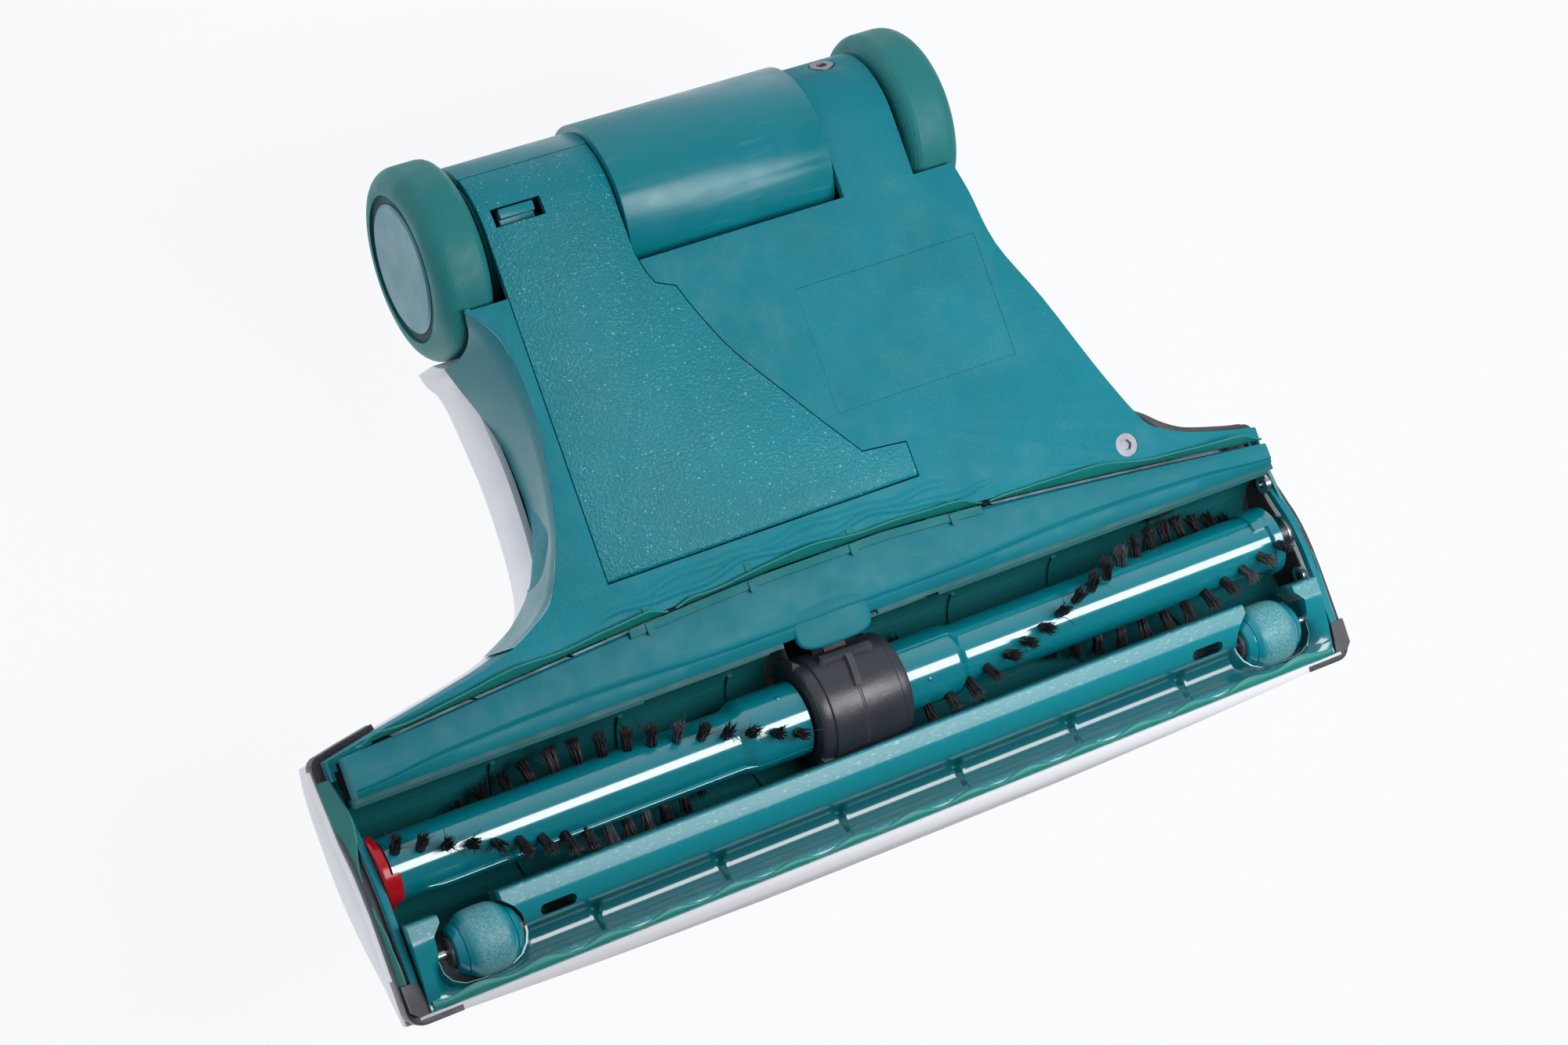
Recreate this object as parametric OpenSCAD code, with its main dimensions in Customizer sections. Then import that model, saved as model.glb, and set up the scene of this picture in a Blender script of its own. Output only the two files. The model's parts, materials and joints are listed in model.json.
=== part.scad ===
// Electric carpet brush head: a low wide head that rolls on two rear wheels and two
// front rollers, with a belt-driven brush in two halves and a tilting, swivelling neck.
// X runs across the head, Y from the nose (minus) to the wheels (plus), Z up from the floor.

/* [Overall] */
// Width across the two end bumpers
head_w = 354; // [344:2:366]
// Length from the nose to the backs of the wheels
depth = 260; // [254:2:268]
// Height of the flat underside above the floor
base_z = 5; // [4:0.5:6]
// Thickness of the underside plate
plate_t = 3; // [2.6:0.2:3.6]
// Wall thickness of the shells
wall = 2.2; // [1.8:0.2:2.8]
// Height of the roof over the brush
dome_h = 50.5; // [49.5:0.5:56]
// Height of the roof over the motor
roof_h = 63; // [62:0.5:68]

/* [Wheels] */
// Radius of a rear wheel over its tyre
wheel_r = 32.2; // [31.6:0.2:34]
// Width of a tyre
tyre_w = 19.2; // [17:0.2:19.6]
// Distance from the middle of the head to the outer face of a tyre
wheel_x = 95.2; // [95.2:0.4:100]
// Radius of the shoulders of a tyre
shoulder_r = 6.6; // [4:0.2:7]
// Thickness of the rubber on a wheel
tyre_t = 7.8; // [7.4:0.2:9]
// Radius of a hub cap
cap_r = 21.4; // [18:0.2:22]
// Radius of a wheel axle
axle_r = 3; // [2.5:0.25:4]

/* [Front rollers] */
// Radius of a front roller at its belly
roller_r = 11.4; // [10.6:0.2:11.8]
// Length of a front roller
roller_l = 24.4; // [20:0.4:25.2]
// Distance from the end of the head in to the middle of a roller
roller_end = 29.5; // [29:0.5:32]
// Distance from the nose back to the roller pins
roller_inset = 22; // [21.5:0.5:23]
// Radius of a roller pin
roller_pin_r = 1.5; // [1:0.25:2]

/* [Brush] */
// Radius of a brush tube
tube_r = 10.4; // [9.6:0.2:10.8]
// Radius at the tips of the bristles
tip_r = 19.2; // [18:0.2:19.2]
// Height of the brush axis above the floor
brush_z = 21.5; // [21.5:0.25:22.5]
// Distance from the nose back to the brush axis
brush_inset = 51.3; // [51.3:0.3:52.5]
// Distance between the tufts of one row
tuft_pitch = 8.6; // [7:0.2:12]
// Radius of a tuft of bristles
tuft_r = 1.6; // [1:0.1:2]
// Turn of a bristle row per millimetre of the left tube, in degrees
row_turn = 1.75; // [1:0.05:2.4]
// Turn of a bristle row per millimetre of the right tube, in degrees
row_turn_right = 2; // [1:0.1:2.4]

/* [Brush drive] */
// Width of the black drive housing between the two tubes
housing_w = 34; // [30:1:36]
// Radius of the drive housing round the brush axis
housing_r = 18.4; // [17:0.2:18.6]
// Distance from the middle of the head to the middle of the drive housing
housing_x = 4.5; // [3:0.5:6]
// Radius of the shaft that carries the brush tubes
shaft_r = 5; // [4:0.25:6]
// Radius of the pulley on the brush shaft
brush_pulley_r = 10; // [9:0.25:11]
// Radius of the pulley on the motor shaft
motor_pulley_r = 5; // [4.5:0.25:6]
// Width of the toothed belt
belt_w = 8; // [6:0.5:9]
// Radius of the motor can
motor_r = 17.8; // [15:0.2:18]
// Length of the motor can
motor_l = 62; // [50:1:66]
// Place of the motor axis, as a share of the way from the brush axis to the wheel axis
motor_share = 0.525; // [0.51:0.005:0.535]
// Height of the motor axis above the floor
motor_z = 40; // [39.5:0.5:41]

/* [Channel cover] */
// Distance from the middle of the head to the outer edge of the cover
cover_x = 73.6; // [72:0.2:74]
// Gap round the cover
cover_gap = 0.4; // [0.3:0.1:0.8]
// How far the cover reaches up the back of the cheek, in degrees past its lowest point
cover_wrap = 46; // [40:2:56]
// Angle that the cover swings down
cover_swing = 80; // [60:5:90]
// Height of the suction duct above the floor
duct_h = 28; // [26:0.5:29]

/* [Neck] */
// Radius of the tilting drum
drum_r = 29.5; // [28.6:0.1:29.8]
// Length of the tilting drum
drum_l = 75; // [71:1:77]
// Distance from the middle of the head to the middle of the drum
drum_x = -9.5; // [-11:0.5:-8]
// Outer radius of the collar on the drum
collar_r = 24.6; // [24:0.2:26]
// Outer radius of the swivelling neck tube
neck_r = 20; // [19.6:0.2:20.4]
// Radius of the socket that takes the machine's spigot
socket_r = 17.6; // [16.6:0.2:18]
// Depth of that socket
socket_l = 40; // [30:1:44]
// Height of the top of the neck above the floor
neck_top = 150; // [146:1:156]

/* [Hidden] */
$fn = 96;
teal = "#1f7f7d";
bright_teal = "#178a8c";
rubber_green = "#2d6f62";

// Clearances: between a shaft and its bore, between moving pieces, and between fixed pieces.
run = 0.06;
clear = 0.4;
seat = 0.15;

// Lines that other pieces are set out from.
nose_y = -depth/2;
axle_y = depth/2 - wheel_r;
axle_z = wheel_r;
brush_y = nose_y + brush_inset;
roller_y = nose_y + roller_inset;
motor_y = brush_y + motor_share*(axle_y - brush_y);
roller_x = head_w/2 - roller_end;
cheek_r = axle_z - base_z;
cheek_x = 74;
cheek_in = cheek_r - plate_t;
drum_x0 = drum_x - drum_l/2;
drum_x1 = drum_x + drum_l/2;
top_z = base_z + plate_t;

// The shell: half width inside and above the bumpers, the rim at the nose and at the wings,
// and the seam at the waist. The right end's fittings stand a little further in than the left's.
shell_x = head_w/2 - 3.5;
outer_x = head_w/2 - 0.6;
rim_z = 14;
rim_rise = 12;
seam_z = 34;
end_shift = 2;
bumper_h = 8;
wing_y = nose_y + 90;
waist_y = wing_y + 16;
arch_r = wheel_r + 1.8;
wheel_in = wheel_x - tyre_w;

// The mouth of the head: the front and rear edges of the opening for the brush.
mouth_front = brush_y - 16.6;
mouth_rear = brush_y + 24.2;
chamber_r = tip_r + 2.8;
chamber_t = 1.6;
bar_top = rim_z;
chamber_x = shell_x - wall - 0.5;

// ---------------------------------------------------------------- helpers

// Smooth curve through the given points, with n steps between each two.
function blend(a, b, c, d, t) = 0.5*(2*b + (c - a)*t + (2*a - 5*b + 4*c - d)*t*t + (3*b - a - 3*c + d)*t*t*t);
function curve(p, n = 4) = concat(
    [for (i = [0:len(p) - 2], k = [0:n - 1])
        blend(p[max(i - 1, 0)], p[i], p[i + 1], p[min(i + 2, len(p) - 1)], k/n)],
    [p[len(p) - 1]]);
function reverse(p) = [for (i = [len(p) - 1:-1:0]) p[i]];
// Arc of an ellipse about c, with radii r, from angle a to angle b.
function arc(c, r, a, b, n = 10) = [for (i = [0:n]) let (t = a + (b - a)*i/n) c + [r[0]*cos(t), r[1]*sin(t)]];

// Solid with the given YZ section from x0 to x1.
module along_x(x0, x1) translate([x0, 0, 0]) rotate([90, 0, 90]) linear_extrude(x1 - x0) children();
// Solid with the given XZ section from y0 to y1.
module along_y(y0, y1) translate([0, y1, 0]) rotate([90, 0, 0]) linear_extrude(y1 - y0) children();
// Solid with the given XY outline from z0 to z1.
module rise(z0, z1) translate([0, 0, z0]) linear_extrude(z1 - z0) children();
// Round bar along X.
module xbar(r, x0, x1, y, z) translate([x0, y, z]) rotate([0, 90, 0]) cylinder(r = r, h = x1 - x0);
// Turned piece about an X axis: the section gives [radius, distance along X].
module turned_x(y, z) translate([0, y, z]) rotate([90, 0, 90]) rotate_extrude() children();
module block(a, b) translate(a) cube(b - a);
// Both sides of the head, both ends of its mouth, or one side turned over.
module both() { children(); mirror([1, 0, 0]) children(); }
module ends() { children(); translate([end_shift, 0, 0]) mirror([1, 0, 0]) children(); }
module side(s) { if (s > 0) children(); else mirror([1, 0, 0]) children(); }
// Wedge about the wheel axis from angle a to b, measured from straight down towards the back.
module wedge(a, b, x0, x1, r) along_x(x0, x1) translate([axle_y, axle_z])
    polygon(concat([[0, 0]], [for (i = [0:8]) let (t = a + (b - a)*i/8) [r*sin(t), -r*cos(t)]]));

// ---------------------------------------------------------------- outline of the body

// Sides of the body from the wheel notch to the wing tip. The right side is fuller, over the motor.
// The wings stretch with the head: wing() gives X from the distance out at the real width.
waist_x = 84.6;
wing_l = 88.9;
function wing(d) = waist_x + d*(shell_x - waist_x)/wing_l;
left_side = [[89, axle_y - 21.5], [80.4, axle_y - 32.3], [78.2, axle_y - 56], [80.2, axle_y - 76],
    [waist_x, wing_y + 42], [wing(7.7), wing_y + 24.2], [wing(14.9), wing_y + 18],
    [wing(29.9), wing_y + 11.1], [wing(52.9), wing_y + 6.4], [wing(71.9), wing_y + 2.8]];
right_side = [[-89, axle_y - 21.5], [-91.5, axle_y - 32.5], [-94.5, axle_y - 51.4],
    [-104.4, axle_y - 73.6], [-wing(30.6), wing_y + 36], [-wing(39), wing_y + 17.2],
    [-wing(43.4), wing_y + 11.5], [-wing(56.7), wing_y + 5.4], [-wing(73.4), wing_y + 1.7]];

// Outline in plan with half width w, and a front edge that bows forward to the nose.
function bow(front_y, w) = [for (i = [10:-1:-10]) [w*i/10, front_y + 4.6*pow(i/10, 2)]];
module body_outline(front_y, w = shell_x) polygon(concat(
    curve(concat(left_side, [[w, wing_y - 0.8]])), bow(front_y, w),
    reverse(curve(concat(right_side, [[-w, wing_y - 0.8]])))));
module body_wall(front_y, t) difference() {
    body_outline(front_y);
    offset(delta = -t) body_outline(front_y);
}
// Front view of the underside: its ends sweep up from the flat by tip_rise.
tip_rise = 15;
tip_end = curve([[shell_x - 46, 0], [shell_x - 28, tip_rise*0.12], [shell_x - 13, tip_rise*0.47],
    [shell_x + 4, tip_rise*1.05]], 3);
tip_line = concat([for (p = reverse(tip_end)) [-p[0], p[1]]], tip_end);
module sweep_band(z0, z1) along_y(nose_y, depth/2) polygon(concat([for (p = tip_line) p + [0, z0]],
    [for (p = reverse(tip_line)) p + [0, z1]]));
// Side view of the rim along the head's ends: it climbs towards the wings.
rim_line = curve([[nose_y - 20, rim_z], [nose_y + 34, rim_z], [nose_y + 53, rim_z + rim_rise*0.2],
    [nose_y + 65, rim_z + rim_rise*0.65], [nose_y + 78, rim_z + rim_rise],
    [nose_y + 116, rim_z + rim_rise]], 3);
module below_rim(dz) polygon(concat(
    [[nose_y - 20, -20]], [for (p = rim_line) p + [0, dz]], [[nose_y + 116, -20]]));

// Front edge of the underside plate, a shallow arc that the rear lips follow: it runs further
// forward on the right than on the left.
function lip_y(x) = wing_y + 10 - (x > 0 ? 8.4 : 13.5)*pow(max(0, abs(x) - 20)/(shell_x - 33.5), 1.25);
lip_line = [for (i = [-10:10]) let (x = i/10*shell_x) [x, lip_y(x)]];
module behind_lips() polygon(concat(lip_line, [[shell_x, depth], [-shell_x, depth]]));

// Outline of the channel cover, from its front edge to the lowest line of the cheek.
cover_front = wing_y + 22;
cover_right = -39.6;
cheek_edge = drum_x1 + 1;
cover_side = [[-39.3, cover_front + 11.6], [-23.4, cover_front + 13.2], [-12.8, cover_front + 27.6],
    [-4.3, cover_front + 39.6], [7.8, axle_y - 58.7], [15.1, axle_y - 43.8], [19.1, axle_y - 33.3],
    [25.4, axle_y - 30.4], [27.2, axle_y - 26.7], [cheek_edge, axle_y - 19]];
module cover_outline() polygon(concat([[cover_x, cover_front], [cover_right, cover_front]],
    [cover_side[0], cover_side[1]], curve([for (i = [2:6]) cover_side[i]]),
    [cover_side[7], cover_side[8], cover_side[9]], [[cheek_edge, axle_y], [cover_x, axle_y]]));

// ---------------------------------------------------------------- underside

module cheek_ring(x0, x1) difference() {
    xbar(cheek_r, x0, x1, axle_y, axle_z);
    xbar(cheek_in, x0 - 1, x1 + 1, axle_y, axle_z);
    block([x0 - 1, axle_y - cheek_r - 1, axle_z - cheek_r - 1], [x1 + 1, axle_y, axle_z]);
}

screw_spot = [-wing(31.5), wing_y + 8.6];
cheek_screw = [-62, 60];
label = [-88, wing_y + 49.4, -20, wing_y + 92];
label_dip = 0.5;
pin_y = cover_front + plate_t/2;
pin_z = base_z + plate_t/2;
pin_r = 0.9;
board = [-86, motor_y + motor_r + 6.2, -52, axle_y - cheek_r - 4.6];

lip_end = wing(75.4);
module wing_wall() difference() {
    body_wall(wing_y - 12, wall);
    translate([-cheek_x - 1, waist_y]) square([2*cheek_x + 2, depth]);
    translate([1 - shell_x, wing_y - 14]) square([2*shell_x - 2, 7 + wall]);
}
module base_plate() color(teal) difference() {
    union() {
        intersection() {
            rise(0, 40) intersection() {
                body_outline(wing_y - 12);
                behind_lips();
            }
            sweep_band(base_z, top_z);
        }
        // Wall of the wings and the waist: it stands up to the rim, and behind it to the seam.
        intersection() {
            rise(base_z, seam_z) intersection() {
                wing_wall();
                union() {
                    behind_lips();
                    both() translate([lip_end, nose_y]) square([head_w, depth]);
                }
            }
            difference() {
                sweep_band(base_z + 0.5, 50);
                block([-head_w, -depth, rim_z + rim_rise - seat], [head_w, waist_y, 60]);
            }
        }
        // Flange round the head's ends.
        both() intersection() {
            block([shell_x - wall, nose_y + 12, 0], [shell_x, wing_y - 2, 50]);
            along_x(0, head_w) difference() {
                below_rim(-seat);
                below_rim(-3.2);
            }
        }
        // Right cheek: a rounded box that carries the drum and the right wheel.
        rise(base_z, top_z) translate([-cheek_x, axle_y - 30])
            square([cheek_x + drum_x0 - clear, 30]);
        cheek_ring(-cheek_x, drum_x0 - clear);
        xbar(cheek_in + 0.5, drum_x0 - clear - 2.6, drum_x0 - clear, axle_y, axle_z);
        xbar(cheek_in + 0.5, -cheek_x, 2.6 - cheek_x, axle_y, axle_z);
        xbar(axle_r + 3.5, -cheek_x, 8 - cheek_x, axle_y, axle_z);
        // Slope that meets the drum.
        along_x(drum_x0 - 1, drum_x1 + 2) slope_section();
        // Boss for the right front screw, and posts for the circuit board.
        intersection() {
            translate([screw_spot[0], screw_spot[1], base_z + 0.5]) cylinder(r = 5.6, h = 12);
            rise(0, 40) behind_lips();
        }
        for (x = [board[0] + 3, board[2] - 3], y = [board[1] + 3, board[3] - 3])
            translate([x, y, base_z]) cylinder(r = 2.4, h = plate_t + 6);
    }
    // Opening for the channel cover, with the bores of its hinge.
    rise(base_z - 1, top_z + 1) offset(delta = cover_gap) cover_outline();
    rise(base_z - 1, top_z + 9) translate([cheek_edge - cover_gap, axle_y - 19])
        square([cheek_x - cheek_edge + 2, 40]);
    xbar(pin_r + run, cover_right - 4, cover_x + 3.4, pin_y, pin_z);
    // Room for the drum and the wheels.
    xbar(drum_r + clear, drum_x0 - clear, drum_x1 + 4, axle_y, axle_z);
    block([drum_x0 - clear, axle_y - 22, base_z - 1], [drum_x1 + 4, axle_y + 1, top_z + 1]);
    both() xbar(arch_r, cheek_x + 0.01, head_w/2, axle_y, axle_z);
    // Bores for the drum's trunnion, the axle and the screws, and the shallow recess of the label.
    xbar(8 + run, drum_x0 - 4, drum_x0, axle_y, axle_z);
    xbar(axle_r, -cheek_x - 1, 9 - cheek_x, axle_y, axle_z);
    translate([screw_spot[0], screw_spot[1], base_z - 1]) cylinder(r = 4.1, h = 3.4);
    translate([screw_spot[0], screw_spot[1], base_z]) cylinder(r = 1.5, h = 11.4);
    translate([cheek_screw[0], axle_y, axle_z]) rotate([180 + cheek_screw[1], 0, 0])
        translate([0, 0, cheek_r - 2.2]) cylinder(r = 4.4, h = 4);
    translate([cheek_screw[0], axle_y, axle_z]) rotate([180 + cheek_screw[1], 0, 0])
        translate([0, 0, cheek_in - 3]) cylinder(r = 1.6, h = 8);
    block([label[0], label[1], base_z - 1], [label[2], label[3], base_z + label_dip]);
    // Long low vent between this wall and the upper shell, on the left.
    xbar(112, 72, 90, axle_y - 86.8, seam_z + 107.6);
}

function drum_front(z) = axle_y - sqrt(pow(drum_r + clear, 2) - pow(axle_z - z, 2));
module slope_section() polygon([[axle_y - 31.8, base_z], [drum_front(base_z + 6) - 0.1, base_z + 6],
    [drum_front(base_z + 9) - 0.1, base_z + 9], [axle_y - 31.8, top_z], [axle_y - 33, top_z],
    [axle_y - 33, base_z]]);

// Left cheek: the box beside the drum through which the air passes. Its lower side is the cover.
module left_cheek() color(bright_teal) difference() {
    union() {
        cheek_ring(drum_x1 + clear, cheek_x);
        xbar(cheek_in + 0.5, drum_x1 + clear, drum_x1 + clear + 2.6, axle_y, axle_z);
        xbar(cheek_in + 0.5, cheek_x - 2.6, cheek_x, axle_y, axle_z);
        xbar(axle_r + 3.5, cheek_x - 8, cheek_x, axle_y, axle_z);
    }
    xbar(21 + run, drum_x1, drum_x1 + 4, axle_y, axle_z);
    xbar(axle_r, cheek_x - 9, cheek_x + 1, axle_y, axle_z);
    // Room for the cover, flat ahead of the axle and round behind it.
    difference() {
        wedge(-60, cover_wrap + 1.2, drum_x1, cheek_x + 1, cheek_r + 12);
        xbar(cheek_in - clear, drum_x1, cheek_x + 1, axle_y, axle_z);
    }
    block([drum_x1, axle_y - cheek_r - 1, 0], [cheek_x + 1, axle_y, top_z + clear]);
}

// ---------------------------------------------------------------- upper shell

// Side view of the head over the brush, and of the waist behind it, set in by t.
module head_section(t) polygon(concat(
    arc([nose_y + 6.5, 21], [6.5 - t, 7 - t], 270, 180, 4),
    curve([for (p = [[2.5, 0.13], [8, 0.26], [18, 0.42], [30, 0.69], [44, 0.9], [57, 0.98], [70, 1]])
        [nose_y + p[0] + t*(1 - p[1]), 21 + p[1]*(dome_h - 21) - t]]),
    arc([nose_y + 72, 38], [20 - t, dome_h - 38 - t], 90, 0, 6),
    [[nose_y + 112, 38 - t], [nose_y + 112, t > 0 ? 0 : rim_z]], t > 0 ? [[nose_y + 6.5, 0]] : []));
module waist_section(t) polygon(concat([[nose_y + 55, 0], [nose_y + 55, dome_h - t - 1]],
    curve([[nose_y + 70, dome_h + 1.5 - t], [nose_y + 98, roof_h - 4.5 - t], [nose_y + 128, roof_h - 1 - t],
        [axle_y - 50, roof_h - t], [axle_y, roof_h - t]]),
    [[axle_y + 1.5, roof_h - t], [axle_y + 1.5, 0]]));
// Left side of the shell behind the wing: it leans in from the wing and flares before the wheel.
shell_side = [[91.5, axle_y - 31], [90.3, axle_y - 35.4], [86.8, axle_y - 42.6], [84.7, axle_y - 64],
    [84.1, axle_y - 77], [84.8, axle_y - 97], [87.6, wing_y + 24], [wing(9), wing_y + 16.5]];
module waist_outline(t) offset(delta = -t) intersection() {
    union() {
        polygon(concat([[-1, shell_side[0][1]]], curve(shell_side), [[86, nose_y + 55], [-1, nose_y + 55]]));
        intersection() {
            offset(delta = 2.6) body_outline(nose_y);
            polygon([[0, depth], [-200, depth], [-134, wing_y + 12], [-110, nose_y + 55], [0, nose_y + 55]]);
        }
    }
    translate([-head_w, -depth]) square([2*head_w, depth + shell_side[0][1]]);
}
module shell_volume(t) {
    intersection() {
        rise(-1, 90) offset(delta = -t) body_outline(nose_y);
        along_x(-head_w/2, head_w/2) head_section(t);
    }
    // Above the bumpers the ends are as wide as the bumpers.
    intersection() {
        rise(-1, 90) offset(delta = -t) body_outline(nose_y, outer_x);
        along_x(-head_w/2, head_w/2) difference() {
            head_section(t);
            below_rim(bumper_h + seat + t);
        }
    }
    intersection() {
        rise(-1, 90) union() {
            waist_outline(t);
            translate([t - cheek_x, axle_y - 40]) square([2*cheek_x - 2*t, 60]);
        }
        along_x(-head_w/2, head_w/2) waist_section(t);
    }
}

lens = [-45, motor_y + 8, 26, 9];
module upper_housing() color("white") difference() {
    union() {
        difference() {
            shell_volume(0);
            shell_volume(wall);
        }
        // Wheel arches.
        intersection() {
            shell_volume(0);
            both() difference() {
                xbar(arch_r + wall, cheek_x - wall + 1.2, head_w/2, axle_y, axle_z);
                xbar(arch_r, cheek_x - wall, head_w/2 + 1, axle_y, axle_z);
            }
        }
    }
    both() xbar(arch_r, cheek_x + 0.6, head_w/2, axle_y, axle_z);
    // Everything below the seam belongs to the underside.
    block([-head_w/2, nose_y + 105.5, -1], [head_w/2, depth/2, seam_z + seat]);
    along_x(-head_w/2, head_w/2) below_rim(0);
    // Slot in which the neck swings.
    block([drum_x0 - clear, axle_y - 32, -1], [drum_x1 + clear, depth/2, roof_h + 1]);
    // Room for the cheeks.
    both() xbar(cheek_r + seat, 0, cheek_x + 0.6, axle_y, axle_z);
    translate([lens[0], lens[1], roof_h - wall - 1]) linear_extrude(wall + 3)
        square([lens[2] + 0.2, lens[3] + 0.2], center = true);
}

module indicator_lens() color("#c8d8d0") translate([lens[0], lens[1], roof_h - wall - 1.2])
    linear_extrude(wall + 1.2) square([lens[2] - 0.1, lens[3] - 0.1], center = true);

// Soft bumper round one end of the head, along the rim: the front, side and rear returns.
bumper_y = nose_y + 3.8;
module bumper_band() along_x(-head_w/2, head_w/2) difference() {
    below_rim(bumper_h);
    below_rim(seat);
}
// Space outside the shell, so that a bumper lies against it.
module bumper_room() difference() {
    bumper_band();
    intersection() {
        rise(-1, 90) offset(delta = seat) body_outline(nose_y);
        along_x(-head_w/2, head_w/2) offset(delta = seat) head_section(0);
    }
}
module bumper(front_x, back) intersection() {
    rise(0, 60) polygon(concat([[front_x, nose_y + 9], [front_x, bumper_y]],
        arc([head_w/2 - 5, bumper_y + 5], [5, 5], 270, 360, 5),
        arc([head_w/2 - 4, wing_y - 2.4], [4, 4], 0, 90, 4), back,
        [[front_x - 2, wing_y - 8]]));
    bumper_room();
}
module bumper_left() color("#47484e")
    bumper(shell_x - 14, [[shell_x - 8, wing_y + 3.2], [shell_x - 19, wing_y + 5.2], [shell_x - 20, wing_y]]);
module bumper_right() color("#47484e") mirror([1, 0, 0])
    bumper(shell_x - 14, reverse(curve([[wing(49.4), wing_y + 19], [wing(53.6), wing_y + 16.2],
        [wing(58.5), wing_y + 12.1], [wing(63.7), wing_y + 8.8], [wing(69.4), wing_y + 6.5],
        [wing(81.4), wing_y + 3.3], [shell_x - 1, wing_y + 2]])));

// ---------------------------------------------------------------- mouth of the head

module brush_chamber() color("#11514f") difference() {
    union() {
        along_x(-chamber_x, chamber_x) chamber_section(chamber_r, chamber_r + chamber_t, -14, 188);
        // Skirt that the rear bar stands against.
        block([-chamber_x, mouth_rear - chamber_t, bar_top - 2], [chamber_x, mouth_rear, brush_z]);
        // Ribs inside the chamber, beside the drive housing and near the ends.
        for (x = [-130, -90, -50, 35, 75, 120])
            along_x(x, x + 1.6) chamber_section(chamber_r - 1, chamber_r + 0.5, 25, 165);
    }
    // Way into the suction duct.
    block([cover_right + 2, brush_y, brush_z - 8], [cover_x - 2, brush_y + 40, duct_h - wall]);
    // Room for the drive housing and its arm, and for the front rollers.
    block([housing_x - housing_w/2 - 0.5, brush_y - 5, brush_z - 10],
        [housing_x + housing_w/2 + 0.5, brush_y + 40, brush_z + 40]);
    ends() block([roller_x - roller_gap, nose_y, -1],
        [roller_x + roller_gap, brush_y - chamber_r + 4, 2*roller_r + 1]);
}
module chamber_section(r0, r1, a, b) translate([brush_y, brush_z])
    polygon(concat(arc([0, 0], [r1, r1], a, b, 24), arc([0, 0], [r0, r0], b, a, 24)));

module rear_bar() color(teal) difference() {
    union() {
        intersection() {
            block([-chamber_x, mouth_rear, 0], [chamber_x, wing_y + 12, 60]);
            sweep_band(base_z + 3, bar_top - 0.4);
        }
        // Tab under the drive housing.
        rise(base_z + 3, base_z + 6) hull() for (x = [-4, 14], y = [mouth_rear - 0.5, mouth_rear + 6])
            translate([x, y]) circle(r = 5, $fn = 24);
    }
    // The bar stays ahead of the rear lips and their strips, clear of the wings and the drive.
    rise(0, 60) translate([0, -2.1]) behind_lips();
    rise(0, 60) offset(delta = seat) wing_wall();
    along_x(housing_x - arm_w/2 - 0.3, housing_x + arm_w/2 + 0.3) offset(delta = 0.3) arm_section(0);
    xbar(housing_r + 0.3, housing_x - housing_w/2 - 0.3, housing_x + housing_w/2 + 0.3, brush_y, brush_z);
}

// Thin soft lips in three lengths along the front edge of the plate.
lip_ends = [[-wing(81.4), -60], [-58, 56], [58, lip_end - 3]];
module lip_strip(x0, x1, t0, t1) polygon(concat(
    [for (i = [0:8]) let (x = x0 + (x1 - x0)*i/8) [x, lip_y(x) - t0]],
    [for (i = [8:-1:0]) let (x = x0 + (x1 - x0)*i/8) [x, lip_y(x) - t1]]));
module rear_lips() color(rubber_green) intersection() {
    for (e = lip_ends) rise(0, 40) lip_strip(e[0], e[1], 0.2, 1.2);
    sweep_band(1.6, top_z + 2);
}
module lip_strips() color("silver") intersection() {
    for (e = lip_ends) rise(0, 40) lip_strip(e[0] + 2, e[1] - 2, 1.35, 1.95);
    sweep_band(base_z, top_z + 1);
}
// Soft lips that hang under the bumpers along the two ends.
module side_lips() color(rubber_green) both() intersection() {
    block([shell_x + 0.8, nose_y + 14, 0], [shell_x + 2, wing_y - 6, 40]);
    along_x(0, head_w) difference() {
        below_rim(seat);
        below_rim(-3.5);
    }
}

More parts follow.
